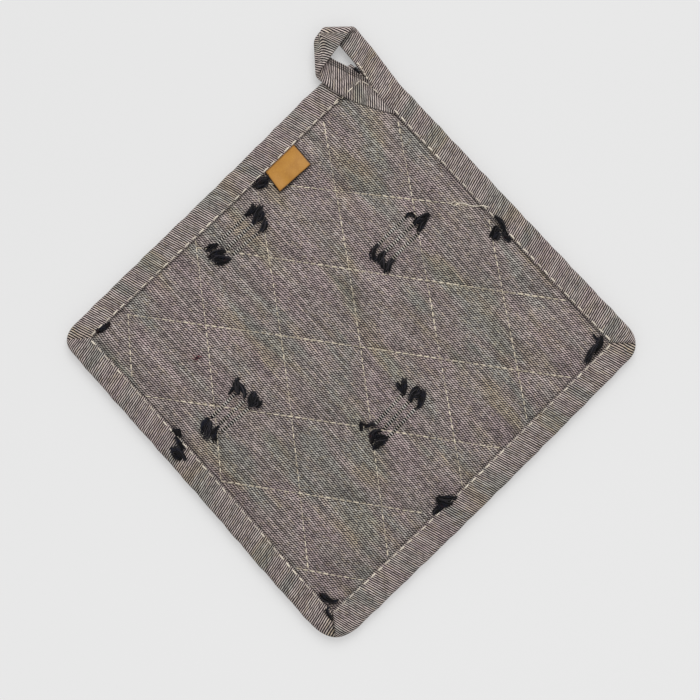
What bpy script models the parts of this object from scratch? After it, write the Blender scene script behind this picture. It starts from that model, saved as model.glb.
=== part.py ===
"""Quilted square pot holder with a bound edge and a hanging loop, lying on its back.

+Z points out of the front cloth and +Y towards the hanging loop.
Sizes are in millimetres and become metres when a mesh is made.
"""

import math

import bmesh
import bpy
from mathutils import Vector

MM = 0.001
CLEARANCE = 0.32

# The square, corner to corner before its corners are rounded.
CORNERS = {
    "top": Vector((5.2, 136.8)),
    "right": Vector((139.4, -5.8)),
    "bottom": Vector((-8.1, -151.3)),
    "left": Vector((-138.3, -3.5)),
}
SIDE_COLUMNS = ("name", "start", "end", "binding_at_start", "binding_at_end", "bow")
SIDE_ROWS = (
    ("top_right", "top", "right", 11.6, 11.9, -0.4),
    ("bottom_right", "right", "bottom", 12.2, 14.2, 0.9),
    ("bottom_left", "bottom", "left", 11.8, 11.8, 0.3),
    ("top_left", "left", "top", 10.2, 12.4, 0.5),
)
CORNER_ROUNDING = {"right": 12.5, "bottom": 17.5, "left": 10.0}
SEAM_ROUNDING = 2.0

# The binding strip, as a U seen in section.
BINDING_TOP = 5.9
BINDING_CLOTH = 1.2
BINDING_WALL = 1.3
BINDING_LIP = 0.5
BINDING_SAG = 0.1
BINDING_CREST_SHARE = 0.66
BINDING_BACK_SHARE = 0.86
BINDING_BACK_LIP = 0.35
BINDING_INNER_ROUND = 0.3
MITRE_CREASE = 0.7
SIDE_STATIONS = 22
CORNER_STATIONS = 9

# The binding's rolled outer edge, from the front round to the back.
ROLL_COLUMNS = ("inset", "height")
ROLL_ROWS = (
    (4.0, 5.8),
    (1.9, 5.45),
    (0.6, 4.7),
    (0.0, 3.6),
    (0.0, 2.3),
    (0.6, 1.1),
    (1.9, 0.3),
    (4.0, 0.0),
)

# The strip leans outwards where it leaves the top corner as the loop.
FLARE = 3.2
FLARE_RUN = 26.0
FLARE_POWER = 1.3
DRAW_IN = 7.0
DRAW_IN_FROM = 0.83
TOP_RIGHT_START = 8.5
TOP_LEFT_END = 190.0

# The quilted pad.
PAD_RIM_INSET = BINDING_WALL + 0.6
PAD_RIM_ROUNDING = {"top": 40.0, "right": 11.0, "bottom": 16.0, "left": 9.0}
PAD_RIM_BOTTOM = BINDING_CLOTH + CLEARANCE
PAD_RIM_SLACK = 0.15
PAD_RIM_TOP = BINDING_TOP - BINDING_CLOTH - CLEARANCE - PAD_RIM_SLACK
CHANNEL_TOP = 5.5
PUFF_TOP = 7.4
PUFF_REACH = 18.5
EDGE_REACH = 13.0
BACK_STEP_SCALE = 0.865
BACK_FACE_SCALE = 0.85
QUILT_CUTS = (-11.0, -6.0, -3.0, -1.2, 0.0, 1.2, 3.0, 6.0, 11.0)
EDGE_CUTS = (0.5, 3.0, 7.0)
MERGE = 0.2

# Quilting lines: the two ends of each, where they meet the seam.
QUILT_COLUMNS = ("family", "start_x", "start_y", "end_x", "end_y")
QUILT_ROWS = (
    ("across", -44.0, 70.2, 65.7, 58.9),
    ("across", -78.0, 40.0, 102.2, 14.9),
    ("across", -107.1, 8.0, 104.1, -21.5),
    ("across", -98.4, -30.5, 70.0, -54.6),
    ("across", -62.9, -70.7, 33.0, -85.4),
    ("across", -26.5, -111.9, 5.7, -117.5),
    ("down", -106.0, 8.8, -104.1, -25.3),
    ("down", -74.7, 43.3, -62.4, -70.7),
    ("down", -45.9, 70.2, -20.3, -112.1),
    ("down", -13.2, 99.6, 17.0, -106.2),
    ("down", 22.2, 100.0, 52.0, -73.1),
    ("down", 65.3, 53.7, 84.7, -51.3),
)

# How far the grain drifts sideways in the middle of the cloth.
DRIFT = 2.6
DRIFT_CENTRE_X = -30.0
DRIFT_SPREAD = 60.0
DRIFT_HEIGHT = 220.0
BOW_DEPTH = 90.0

# The hanging loop.
STRIP_WIDTH = 11.4
STRIP_CLOTH = 2.1
LOOP_APEX = Vector((1.9, 144.7))
LOOP_ALONG = Vector((-0.633, 0.774)).normalized()
LOOP_ROOT_RUN = 13.1
LOOP_ROOT_HEIGHT = 5.2
LOOP_ROOT_CLOSE = 9.0
LOOP_REST_HEIGHT = 1.75
TOP_FOLD_BEYOND = Vector((-0.02, 1.0)).normalized()
TOP_FOLD_RADIUS = 2.3
SIDE_FOLD_BEYOND = Vector((-0.9985, -0.055)).normalized()
SIDE_FOLD_AT = Vector((-17.8, 139.0))
SIDE_FOLD_RADIUS = 1.25
SIDE_FOLD_PINCH = 2.9
TAIL_CLOTH = 1.3
TAIL_CLIMB_FROM = -3.5
TAIL_CLIMB_RUN = 6.0
TAIL_SETTLE_FROM = 12.0
TAIL_SETTLE_RUN = 5.0
TAIL_OVER_PAD = 0.5
TAIL_LOWEST = 5.2
STRIP_SHARES = (0.06, 0.22, 0.4, 0.6, 0.78, 0.94)
STRIP_EDGE_SHARE = 0.6
LEG_STEPS = 6
FOLD_STEPS = 8
BETWEEN_FOLDS = 3
TAIL_STEPS = 16
TAIL_OVER_BINDING = BINDING_TOP + CLEARANCE
TAIL_BEND = Vector((-5.0, 108.4))
TAIL_END_HIGH = 15.0
TAIL_END_LOW = 36.0
TAIL_END_GAP = 0.75

# The tan tab: its two corners at the seam, then the two free ones.
LABEL_CORNERS = (
    Vector((-39.6, 74.7)),
    Vector((-26.3, 87.6)),
    Vector((-19.1, 78.8)),
    Vector((-33.6, 66.0)),
)
LABEL_CLOTH = 1.0
LABEL_SEAM_HEIGHT = 5.0
LABEL_FREE_HEIGHT = 7.2
LABEL_STEPS = 5

# Clumps of clipped yarn: middle, direction of the yarn, size and number of ends.
TUFT_COLUMNS = ("name", "x", "y", "heading", "length", "width", "ends", "on")
TUFT_ROWS = (
    ("tuft_upper_left_a", -45.2, 53.6, 118.0, 12.5, 7.5, 3, "pad"),
    ("tuft_upper_left_b", -62.6, 37.0, 38.0, 12.0, 6.5, 3, "pad"),
    ("tuft_upper_right_a", 31.8, 52.5, 150.0, 11.0, 7.0, 3, "pad"),
    ("tuft_upper_right_b", 14.8, 34.2, 112.0, 12.0, 8.0, 3, "pad"),
    ("tuft_lower_left_a", -49.6, -29.4, 128.0, 14.0, 8.5, 4, "pad"),
    ("tuft_lower_left_b", -66.6, -46.4, 70.0, 10.0, 7.0, 2, "pad"),
    ("tuft_lower_right_a", 27.4, -29.0, 118.0, 13.5, 7.0, 3, "pad"),
    ("tuft_lower_right_b", 10.4, -49.4, 130.0, 12.5, 8.0, 3, "pad"),
    ("tuft_by_label", -43.4, 71.0, 44.0, 8.0, 4.0, 2, "pad"),
    ("tuft_by_top_right_seam", 70.0, 49.0, 125.0, 11.5, 6.0, 3, "pad"),
    ("tuft_by_right_corner", 113.0, -7.0, 50.0, 11.5, 5.0, 2, "pad"),
    ("tuft_by_left_corner", -117.0, 0.6, 38.0, 6.0, 3.0, 2, "pad"),
    ("tuft_by_lower_left_seam", -81.8, -48.8, 105.0, 8.0, 4.0, 2, "pad"),
    ("tuft_on_binding", -87.3, -57.0, 100.0, 8.5, 5.0, 2, "binding"),
    ("tuft_by_lower_right_seam", 43.4, -80.8, 42.0, 11.0, 5.0, 3, "pad"),
    ("tuft_by_bottom_corner", -10.6, -126.2, 140.0, 7.0, 4.5, 2, "pad"),
)
TUFT_HEIGHT = 1.7
TUFT_LIFT = 0.42
TUFT_SEAM_GAP = 0.7
TUFT_STEPS = 5
TUFT_LEAST = 0.25
TUFT_GROOVE_SHARE = 0.45
TUFT_EDGE_SHARE = 0.2
TUFT_ROOT_SHARE = 0.55
TUFT_STAGGER = 0.08
TUFT_STAGGER_TURN = 2.4
TUFT_ROOT_TAPER = 0.12
TUFT_TIP_TAPER = 0.10
TUFT_FULLNESS = 0.6

FINISHES = {
    "cloth": ((0.205, 0.174, 0.160), 0.92),
    "strip": ((0.215, 0.184, 0.170), 0.90),
    "tan": ((0.520, 0.250, 0.050), 0.55),
    "yarn": ((0.013, 0.014, 0.018), 0.85),
}


def smooth(value):
    """Ease from 0 to 1 as the value goes from 0 to 1."""
    value = min(max(value, 0.0), 1.0)
    return value * value * (3.0 - 2.0 * value)


def named_rows(columns, rows):
    return [dict(zip(columns, row)) for row in rows]


def meeting_point(point_a, along_a, point_b, along_b):
    """Where two straight lines of the plane cross."""
    cross = along_a.x * along_b.y - along_a.y * along_b.x
    reach = (point_b - point_a).x * along_b.y - (point_b - point_a).y * along_b.x
    return point_a + along_a * (reach / cross)


class Side:
    """One side of the square, run clockwise as seen from the front."""

    def __init__(self, row):
        self.start = CORNERS[row["start"]]
        self.end = CORNERS[row["end"]]
        self.start_name, self.end_name = row["start"], row["end"]
        self.length = (self.end - self.start).length
        self.along = (self.end - self.start).normalized()
        self.inward = Vector((self.along.y, -self.along.x))
        self.bow = row["bow"]
        self.width_start, self.width_end = row["binding_at_start"], row["binding_at_end"]
        self.seam_start = self.start + self.inward * self.width_start
        self.seam_along = (self.end + self.inward * self.width_end - self.seam_start).normalized()

    def run(self, point):
        return (point - self.start).dot(self.along)

    def inset(self, point):
        return (point - self.start).dot(self.inward)

    def seam_inset(self, point):
        """Distance inside the line where the binding ends."""
        return self.inset(point) - self.width_start - (
            (self.width_end - self.width_start) * self.run(point) / self.length)

    def at(self, run, inset):
        return self.start + self.along * run + self.inward * inset


SIDES = {row["name"]: Side(row) for row in named_rows(SIDE_COLUMNS, SIDE_ROWS)}
SIDE_RING = [SIDES[row[0]] for row in SIDE_ROWS]
QUILTING = named_rows(QUILT_COLUMNS, QUILT_ROWS)


def seam_corner(side_before, side_after):
    return meeting_point(side_before.seam_start, side_before.seam_along,
                         side_after.seam_start, side_after.seam_along)


def drift(point):
    """Sideways shift of the cloth: bowed sides, and a grain that wanders mid way."""
    shift = Vector((0.0, 0.0))
    for side in SIDE_RING:
        share = math.sin(math.pi * min(max(side.run(point) / side.length, 0.0), 1.0))
        near = 1.0 - smooth(side.inset(point) / BOW_DEPTH)
        shift -= side.inward * side.bow * share * near
    across = math.exp(-((point.x - DRIFT_CENTRE_X) / DRIFT_SPREAD) ** 2)
    shift.x += DRIFT * across * max(math.cos(math.pi * point.y / DRIFT_HEIGHT), 0.0)
    return shift


def straightened(point):
    """The place that the drift carries to this point."""
    first = point - drift(point)
    return point - drift(first)


def corner_curve(before, corner, after, count):
    """Points strictly between two tangent points, rounding a corner."""
    points = []
    for step in range(1, count + 1):
        share = step / (count + 1)
        points.append(before * (1 - share) ** 2
                      + corner * (2 * share * (1 - share)) + after * share ** 2)
    return points


# ---------------------------------------------------------------- mesh helpers

def make_material(name, finish):
    colour, roughness = FINISHES[finish]
    material = bpy.data.materials.new(name + "_finish")
    material.use_nodes = True
    shader = material.node_tree.nodes["Principled BSDF"]
    shader.inputs["Base Color"].default_value = (*colour, 1.0)
    shader.inputs["Roughness"].default_value = roughness
    shader.inputs["Metallic"].default_value = 0.0
    return material


def finish_object(name, mesh_data, finish, smooth_angle):
    """Turn a bmesh in millimetres into a named object in metres."""
    bmesh.ops.scale(mesh_data, vec=(MM, MM, MM), verts=mesh_data.verts)
    bmesh.ops.triangulate(mesh_data, faces=mesh_data.faces[:])
    bmesh.ops.recalc_face_normals(mesh_data, faces=mesh_data.faces[:])
    mesh = bpy.data.meshes.new(name)
    mesh_data.to_mesh(mesh)
    mesh_data.free()
    mesh.shade_smooth()
    mesh.set_sharp_from_angle(angle=math.radians(smooth_angle))
    mesh.materials.append(make_material(name, finish))
    part = bpy.data.objects.new(name, mesh)
    bpy.context.scene.collection.objects.link(part)
    return part


def tube_of_rings(rings):
    """A closed solid from rings of points, with a flat cap at each end."""
    mesh_data = bmesh.new()
    loops = [[mesh_data.verts.new(point) for point in ring] for ring in rings]
    for loop, following in zip(loops, loops[1:]):
        for index in range(len(loop)):
            other = (index + 1) % len(loop)
            mesh_data.faces.new((loop[index], loop[other], following[other], following[index]))
    mesh_data.faces.new(loops[0][::-1])
    mesh_data.faces.new(loops[-1])
    return mesh_data


# ---------------------------------------------------------------- quilted pad

def quilt_line(row):
    start = Vector((row["start_x"], row["start_y"]))
    end = Vector((row["end_x"], row["end_y"]))
    along = (end - start).normalized()
    return start, Vector((-along.y, along.x))


def puff(point):
    """0 on a quilting line and 1 in the middle of a diamond."""
    share = 1.0
    for family in ("across", "down"):
        nearest = min(abs((point - start).dot(normal)) for start, normal in
                      (quilt_line(row) for row in QUILTING if row["family"] == family))
        share *= 1.0 - (1.0 - min(nearest / PUFF_REACH, 1.0)) ** 2
    return share


def pad_top(point):
    """Height of the front cloth over a point of the straight, undrifted square."""
    inside = min(side.seam_inset(point) for side in SIDE_RING)
    if inside <= EDGE_CUTS[0]:
        return PAD_RIM_TOP
    swell = 1.0 - (1.0 - min((inside - EDGE_CUTS[0]) / EDGE_REACH, 1.0)) ** 2
    full = CHANNEL_TOP + (PUFF_TOP - CHANNEL_TOP) * puff(point)
    return PAD_RIM_TOP + (full - PAD_RIM_TOP) * swell


def pad_outline():
    """The pad's rim: the square a little inside the binding, with rounded corners."""
    points = []
    for before, after in zip(SIDE_RING[-1:] + SIDE_RING[:-1], SIDE_RING):
        corner = meeting_point(before.at(0, PAD_RIM_INSET), before.along,
                               after.at(0, PAD_RIM_INSET), after.along)
        trim = PAD_RIM_ROUNDING[after.start_name]
        first, last = corner - before.along * trim, corner + after.along * trim
        points += [first] + corner_curve(first, corner, last, CORNER_STATIONS) + [last]
    return points


def cut_lines():
    """Every straight line, as a point and a normal, that the front cloth is cut along."""
    lines = []
    for family in ("across", "down"):
        rows = [quilt_line(row) for row in QUILTING if row["family"] == family]
        for start, normal in rows:
            lines += [(start + normal * offset, normal) for offset in QUILT_CUTS]
        for (start, normal), (other, other_normal) in zip(rows, rows[1:]):
            gap = (other - start).dot(normal)
            lines.append((start + normal * gap / 2, (normal + other_normal) / 2))
    for side in SIDE_RING:
        across_seam = Vector((side.seam_along.y, -side.seam_along.x))
        lines += [(side.seam_start + across_seam * offset, across_seam) for offset in EDGE_CUTS]
    return lines


def rim_ring(mesh_data, rim, height, scale):
    """A copy of the rim's points, drawn towards the middle and set at a height."""
    centre = sum((vert.co for vert in rim), Vector()) / len(rim)
    points = [centre + (vert.co - centre) * scale for vert in rim]
    return [mesh_data.verts.new((point.x, point.y, height)) for point in points]


def ordered_rim(mesh_data):
    """The boundary points of the flat front cloth, in order."""
    edges = [edge for edge in mesh_data.edges if edge.is_boundary]
    rim = [edges[0].verts[0], edges[0].verts[1]]
    while True:
        onward = [edge.other_vert(rim[-1]) for edge in rim[-1].link_edges if edge.is_boundary]
        following = next(vert for vert in onward if vert is not rim[-2])
        if following is rim[0]:
            return rim
        rim.append(following)


def make_pad():
    """Front cloth with its puffs, a squeezed rim and a flat back."""
    mesh_data = bmesh.new()
    outline = pad_outline()[::-1]
    mesh_data.faces.new([mesh_data.verts.new((point.x, point.y, 0.0)) for point in outline])
    for point, normal in cut_lines():
        everything = mesh_data.verts[:] + mesh_data.edges[:] + mesh_data.faces[:]
        bmesh.ops.bisect_plane(mesh_data, geom=everything, dist=MERGE,
                               plane_co=(point.x, point.y, 0.0),
                               plane_no=(normal.x, normal.y, 0.0))
    bmesh.ops.remove_doubles(mesh_data, verts=mesh_data.verts[:], dist=MERGE)
    for vert in mesh_data.verts:
        vert.co.z = pad_top(vert.co.to_2d())
    rim = ordered_rim(mesh_data)
    rings = [rim,
             rim_ring(mesh_data, rim, PAD_RIM_BOTTOM, 1.0),
             rim_ring(mesh_data, rim, PAD_RIM_BOTTOM, BACK_STEP_SCALE),
             rim_ring(mesh_data, rim, 0.0, BACK_FACE_SCALE)]
    for ring, following in zip(rings, rings[1:]):
        for index in range(len(ring)):
            other = (index + 1) % len(ring)
            mesh_data.faces.new((ring[index], ring[other], following[other], following[index]))
    mesh_data.faces.new(rings[-1])
    for vert in mesh_data.verts:
        shift = drift(vert.co.to_2d())
        vert.co += Vector((shift.x, shift.y, 0.0))
    return finish_object("pad", mesh_data, "cloth", 50)


# ---------------------------------------------------------------- binding

def flare(run):
    """How far the strip leans out near the top corner."""
    return FLARE * max(1.0 - run / FLARE_RUN, 0.0) ** FLARE_POWER


def draw_in(share):
    """How far the last of the strip draws in below the loop."""
    return DRAW_IN * max((share - DRAW_IN_FROM) / (1.0 - DRAW_IN_FROM), 0.0) ** 2


def loop_root():
    """Where the strip leaves the pad's corner: the ends of a line square across it."""
    outer = LOOP_APEX - LOOP_ALONG * LOOP_ROOT_RUN
    return outer, outer + Vector((-LOOP_ALONG.y, LOOP_ALONG.x)) * STRIP_WIDTH


def side_stations(side, before, after):
    """Outer and seam points across the strip, along one side between its corners."""
    run_start, run_end = TOP_RIGHT_START, TOP_LEFT_END
    seam_start = side.at(TOP_RIGHT_START, side.width_start)
    seam_end = side.at(TOP_LEFT_END, side.width_end)
    if before:
        run_start = CORNER_ROUNDING[side.start_name]
        seam_start = seam_corner(before, side) + side.seam_along * SEAM_ROUNDING
    if after:
        run_end = side.length - CORNER_ROUNDING[side.end_name]
        seam_end = seam_corner(side, after) - side.seam_along * SEAM_ROUNDING
    stations = []
    if not before:
        root_outer, root_inner = (place - LOOP_ALONG * CLEARANCE for place in loop_root())
        stations.append((root_outer, root_inner, 0.0))
    for step in range(SIDE_STATIONS + 1):
        share = step / SIDE_STATIONS
        run = run_start + (run_end - run_start) * share
        outer = side.at(run, 0.0)
        seam = seam_start.lerp(seam_end, share)
        if not before:
            outer -= side.inward * flare(run)
            seam -= side.inward * flare(run)
        if not after:
            outer += side.inward * draw_in(run / side.length)
        stations.append((outer, seam, 0.0))
    return stations


def corner_stations(before, after, last, first):
    """Stations that fan round a corner, with a mitre crease in the middle one."""
    corner = CORNERS[after.start_name]
    outers = corner_curve(last[0], corner, first[0], CORNER_STATIONS)
    seams = corner_curve(last[1], seam_corner(before, after), first[1], CORNER_STATIONS)
    middle = CORNER_STATIONS // 2
    return [(outer, seam, MITRE_CREASE if index == middle else 0.0)
            for index, (outer, seam) in enumerate(zip(outers, seams))]


def binding_profile(width, crease):
    """The strip's section as (distance in from the edge, height), front lip first."""
    top = BINDING_TOP - crease
    under_top = BINDING_TOP - BINDING_CLOTH
    turned = width * BINDING_BACK_SHARE
    wall, soft = BINDING_WALL, BINDING_INNER_ROUND
    front = [(width, top - BINDING_LIP), (width - BINDING_LIP, top - BINDING_SAG),
             (width * BINDING_CREST_SHARE, top)]
    roll = [(row["inset"], min(row["height"], top - BINDING_SAG))
            for row in named_rows(ROLL_COLUMNS, ROLL_ROWS)]
    back = [(turned - BINDING_BACK_LIP, 0.0), (turned, BINDING_BACK_LIP), (turned, BINDING_CLOTH)]
    inner = [(wall + soft, BINDING_CLOTH), (wall, BINDING_CLOTH + soft),
             (wall, under_top - soft), (wall + soft, under_top), (width, under_top)]
    return front + roll + back + inner


def station_ring(station):
    """The section set across the strip at one station."""
    outer, seam, crease = station
    across = (seam - outer).normalized()
    ring = []
    for inset, height in binding_profile((seam - outer).length, crease):
        place = outer + across * inset
        place += drift(place)
        ring.append(Vector((place.x, place.y, height)))
    return ring


def binding_stations():
    runs = [side_stations(side, before, after) for before, side, after in
            zip([None] + SIDE_RING, SIDE_RING, SIDE_RING[1:] + [None])]
    stations = list(runs[0])
    for before, after, run in zip(SIDE_RING, SIDE_RING[1:], runs[1:]):
        stations += corner_stations(before, after, stations[-1], run[0])
        stations += run
    return stations


def make_binding():
    """The strip swept round the square from the top corner back to it."""
    rings = [station_ring(station) for station in binding_stations()]
    return finish_object("binding", tube_of_rings(rings), "strip", 40)


# ---------------------------------------------------------------- hanging loop

class Crossing:
    """A straight line across the strip, from its outer edge to its inner edge."""

    def __init__(self, outer, inner, height, facing, cloth):
        self.outer, self.inner = outer, inner
        self.height, self.facing, self.cloth = height, facing, cloth

    def level(self, place):
        """Middle height and thickness of the cloth at a place on the crossing."""
        return self.height, self.cloth

    def ring(self):
        """The strip's section here, with soft edges."""
        front = [(0.0, STRIP_EDGE_SHARE)] + [(share, 1.0) for share in STRIP_SHARES]
        front.append((1.0, STRIP_EDGE_SHARE))
        points = []
        for share, side in front + [(share, -side) for share, side in front[::-1]]:
            place = self.outer.lerp(self.inner, share)
            height, cloth = self.level(place)
            foot = Vector((place.x, place.y, height))
            points.append(foot + self.facing * side * cloth / 2)
        return points


class TailCrossing(Crossing):
    """A crossing of the tail, which climbs over the binding and lies on the pad."""

    def level(self, place):
        inside = SIDES["top_left"].inset(place)
        climb = smooth((inside - TAIL_CLIMB_FROM) / TAIL_CLIMB_RUN)
        settle = smooth((inside - TAIL_SETTLE_FROM) / TAIL_SETTLE_RUN)
        cloth = STRIP_CLOTH + (TAIL_CLOTH - STRIP_CLOTH) * settle
        under = self.height - STRIP_CLOTH / 2
        under += (TAIL_OVER_BINDING - under) * climb
        on_pad = pad_top(straightened(place)) + TAIL_OVER_PAD
        under += (max(on_pad, TAIL_LOWEST) - under) * settle
        return under + cloth / 2, cloth


def fold_crossings(first_outer, first_inner, along, beyond, radius, height, turn):
    """Crossings round a fold, whose crease is the line through the first two points."""
    crease = (first_inner - first_outer).normalized()
    slide = along.dot(crease) / along.dot(beyond)
    crossings = []
    for step in range(FOLD_STEPS + 1):
        angle = math.pi * step / FOLD_STEPS
        shift = crease * slide * radius * angle + beyond * radius * math.sin(angle)
        facing = Vector((-beyond.x * math.sin(angle), -beyond.y * math.sin(angle),
                         turn * math.cos(angle)))
        rise = turn * radius * (1.0 - math.cos(angle))
        crossings.append(Crossing(first_outer + shift, first_inner + shift,
                                  height + rise, facing, STRIP_CLOTH))
    return crossings


def mirrored(direction, normal):
    return direction - normal * (2.0 * direction.dot(normal))


def rising_leg(root_outer, root_inner, end_outer, end_inner, height):
    """From the corner to the top fold: the strip's two flaps close together."""
    crossings = []
    for step in range(LEG_STEPS):
        share = step / LEG_STEPS
        outer, inner = root_outer.lerp(end_outer, share), root_inner.lerp(end_inner, share)
        closing = smooth((outer - root_outer).length / LOOP_ROOT_CLOSE)
        middle = BINDING_TOP / 2 + (height - BINDING_TOP / 2) * smooth(share)
        cloth = LOOP_ROOT_HEIGHT + (STRIP_CLOTH - LOOP_ROOT_HEIGHT) * closing
        crossings.append(Crossing(outer, inner, middle, Vector((0, 0, 1)), cloth))
    return crossings


def tail_crossings(outer, inner, height):
    """The tail: it fans out over the corner and ends against the right hand strip."""
    side = SIDES["top_right"]
    end_inner = side.at(TAIL_END_HIGH, side.width_start - flare(TAIL_END_HIGH) + TAIL_END_GAP)
    end_outer = side.at(TAIL_END_LOW, side.width_start - flare(TAIL_END_LOW) + TAIL_END_GAP)
    end_inner += drift(end_inner)
    end_outer += drift(end_outer)
    crossings = []
    for step in range(1, TAIL_STEPS + 1):
        share = step / TAIL_STEPS
        low = (outer * (1 - share) ** 2 + TAIL_BEND * (2 * share * (1 - share))
               + end_outer * share ** 2)
        high = inner.lerp(end_inner, share)
        crossings.append(TailCrossing(low, high, height, Vector((0, 0, 1)), STRIP_CLOTH))
    return crossings


def loop_crossings():
    """Every crossing of the strip, from the corner to the tail's end."""
    root_outer, root_inner = loop_root()
    crease = Vector((-TOP_FOLD_BEYOND.y, TOP_FOLD_BEYOND.x))
    fold_at = LOOP_APEX - TOP_FOLD_BEYOND * (TOP_FOLD_RADIUS + STRIP_CLOTH / 2)
    fold_outer = meeting_point(root_outer, LOOP_ALONG, fold_at, crease)
    fold_inner = meeting_point(root_inner, LOOP_ALONG, fold_at, crease)
    crossings = rising_leg(root_outer, root_inner, fold_outer, fold_inner, LOOP_REST_HEIGHT)
    crossings += fold_crossings(fold_outer, fold_inner, LOOP_ALONG, TOP_FOLD_BEYOND,
                                TOP_FOLD_RADIUS, LOOP_REST_HEIGHT, 1)
    back = mirrored(LOOP_ALONG, TOP_FOLD_BEYOND)
    last = crossings[-1]
    side_crease = Vector((-SIDE_FOLD_BEYOND.y, SIDE_FOLD_BEYOND.x))
    side_at = SIDE_FOLD_AT - SIDE_FOLD_BEYOND * (SIDE_FOLD_RADIUS + STRIP_CLOTH / 2)
    turn_outer = meeting_point(last.outer, back, side_at, side_crease)
    turn_inner = meeting_point(last.inner, back, side_at, side_crease)
    height = last.height
    for step in range(1, BETWEEN_FOLDS):
        share = step / BETWEEN_FOLDS
        crossings.append(Crossing(last.outer.lerp(turn_outer, share),
                                  last.inner.lerp(turn_inner, share),
                                  height, last.facing, STRIP_CLOTH))
    side_fold = fold_crossings(turn_outer, turn_inner, back, SIDE_FOLD_BEYOND,
                               SIDE_FOLD_RADIUS, height, -1)
    for index, crossing in enumerate(side_fold):
        pinch = SIDE_FOLD_PINCH * smooth(index / (len(side_fold) - 1))
        crossing.inner += (crossing.outer - crossing.inner).normalized() * pinch
    crossings += side_fold
    last = crossings[-1]
    return crossings + tail_crossings(last.outer, last.inner, last.height)


def make_hanging_loop():
    rings = [crossing.ring() for crossing in loop_crossings()]
    return finish_object("hanging_loop", tube_of_rings(rings), "strip", 50)


# ---------------------------------------------------------------- label and tufts

def make_label():
    """A thin stiff tab, level from side to side and rising off the seam."""
    seam_left, seam_right, free_right, free_left = LABEL_CORNERS
    rings = []
    for step in range(LABEL_STEPS + 1):
        share = step / LABEL_STEPS
        left, right = seam_left.lerp(free_left, share), seam_right.lerp(free_right, share)
        under = LABEL_SEAM_HEIGHT + (LABEL_FREE_HEIGHT - LABEL_SEAM_HEIGHT) * (
            1.0 - (1.0 - share) ** 2)
        ring = []
        for across, up in ((0.0, 0.0), (0.5, 0.0), (1.0, 0.0), (1.0, 1.0), (0.5, 1.0), (0.0, 1.0)):
            place = left.lerp(right, across)
            ring.append(Vector((place.x, place.y, under + up * LABEL_CLOTH)))
        rings.append(ring)
    return finish_object("label", tube_of_rings(rings), "tan", 30)


def clear_of_seam(places):
    """Grid of places, moved in together until all of them miss the binding's lip."""
    for side in SIDE_RING:
        nearest = min(side.seam_inset(place) for row in places for place in row)
        short = max(TUFT_SEAM_GAP - nearest, 0.0)
        places = [[place + side.inward * short for place in row] for row in places]
    return places


def tuft_places(row):
    """Plan of a clump: a row of places across it for each step along it."""
    heading = math.radians(row["heading"])
    along = Vector((math.cos(heading), math.sin(heading)))
    across = Vector((-along.y, along.x))
    middle = Vector((row["x"], row["y"]))
    ridges = 2 * row["ends"] + 1
    places = []
    for step in range(TUFT_STEPS + 1):
        share = step / TUFT_STEPS
        line = []
        for index in range(ridges):
            width = row["width"] * (TUFT_ROOT_SHARE + (1.0 - TUFT_ROOT_SHARE) * share)
            spread = (index / (ridges - 1) - 0.5) * width
            stagger = TUFT_STAGGER * math.sin(TUFT_STAGGER_TURN * index + row["x"]) * share
            reach = (share - 0.5 + stagger) * row["length"]
            line.append(middle + along * reach + across * spread)
        places.append(line)
    return places


def make_tuft(row):
    """Yarn ends lying side by side: ridges that taper and splay towards their tips."""
    places = tuft_places(row)
    on_pad = row["on"] == "pad"
    if on_pad:
        places = clear_of_seam(places)
    rings = []
    for step, line in enumerate(places):
        taper = TUFT_ROOT_TAPER + (1.0 - TUFT_ROOT_TAPER - TUFT_TIP_TAPER) * step / TUFT_STEPS
        body = math.sin(math.pi * taper) ** TUFT_FULLNESS
        upper, under = [], []
        for index, place in enumerate(line):
            base = BINDING_TOP
            if on_pad:
                base = pad_top(straightened(place))
            crest = 1.0 if index % 2 else TUFT_GROOVE_SHARE
            if index in (0, len(line) - 1):
                crest = TUFT_EDGE_SHARE
            top = base + TUFT_LIFT + TUFT_LEAST + TUFT_HEIGHT * crest * body
            upper.append(Vector((place.x, place.y, top)))
            under.append(Vector((place.x, place.y, base + TUFT_LIFT)))
        rings.append(under + upper[::-1])
    return finish_object(row["name"], tube_of_rings(rings), "yarn", 35)


def main():
    for leftover in list(bpy.data.objects):
        bpy.data.objects.remove(leftover)
    make_pad()
    make_binding()
    make_hanging_loop()
    make_label()
    for row in named_rows(TUFT_COLUMNS, TUFT_ROWS):
        make_tuft(row)


main()
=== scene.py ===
"""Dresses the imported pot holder: quilted cloth, bias strip and loop, tan tab, black yarn, stitches.

Places and sizes are in millimetres, in the frame's own axes, and become metres in the meshes.
"""

import math
import random

import bpy
import numpy as np
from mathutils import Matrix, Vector
from mathutils.bvhtree import BVHTree


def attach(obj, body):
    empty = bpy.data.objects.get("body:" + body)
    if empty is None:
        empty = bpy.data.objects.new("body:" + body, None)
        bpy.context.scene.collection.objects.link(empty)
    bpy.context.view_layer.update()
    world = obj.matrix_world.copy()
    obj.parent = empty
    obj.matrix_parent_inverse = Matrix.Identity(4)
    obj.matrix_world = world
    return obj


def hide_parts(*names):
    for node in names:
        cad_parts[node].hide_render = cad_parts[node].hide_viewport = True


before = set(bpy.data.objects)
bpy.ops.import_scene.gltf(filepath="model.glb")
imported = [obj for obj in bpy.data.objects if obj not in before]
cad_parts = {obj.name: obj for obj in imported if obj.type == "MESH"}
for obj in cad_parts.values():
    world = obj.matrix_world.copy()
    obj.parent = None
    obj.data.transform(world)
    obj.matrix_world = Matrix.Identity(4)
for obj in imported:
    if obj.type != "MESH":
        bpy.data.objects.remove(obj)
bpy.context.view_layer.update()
bpy.ops.object.select_all(action="DESELECT")

MM = 0.001

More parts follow.
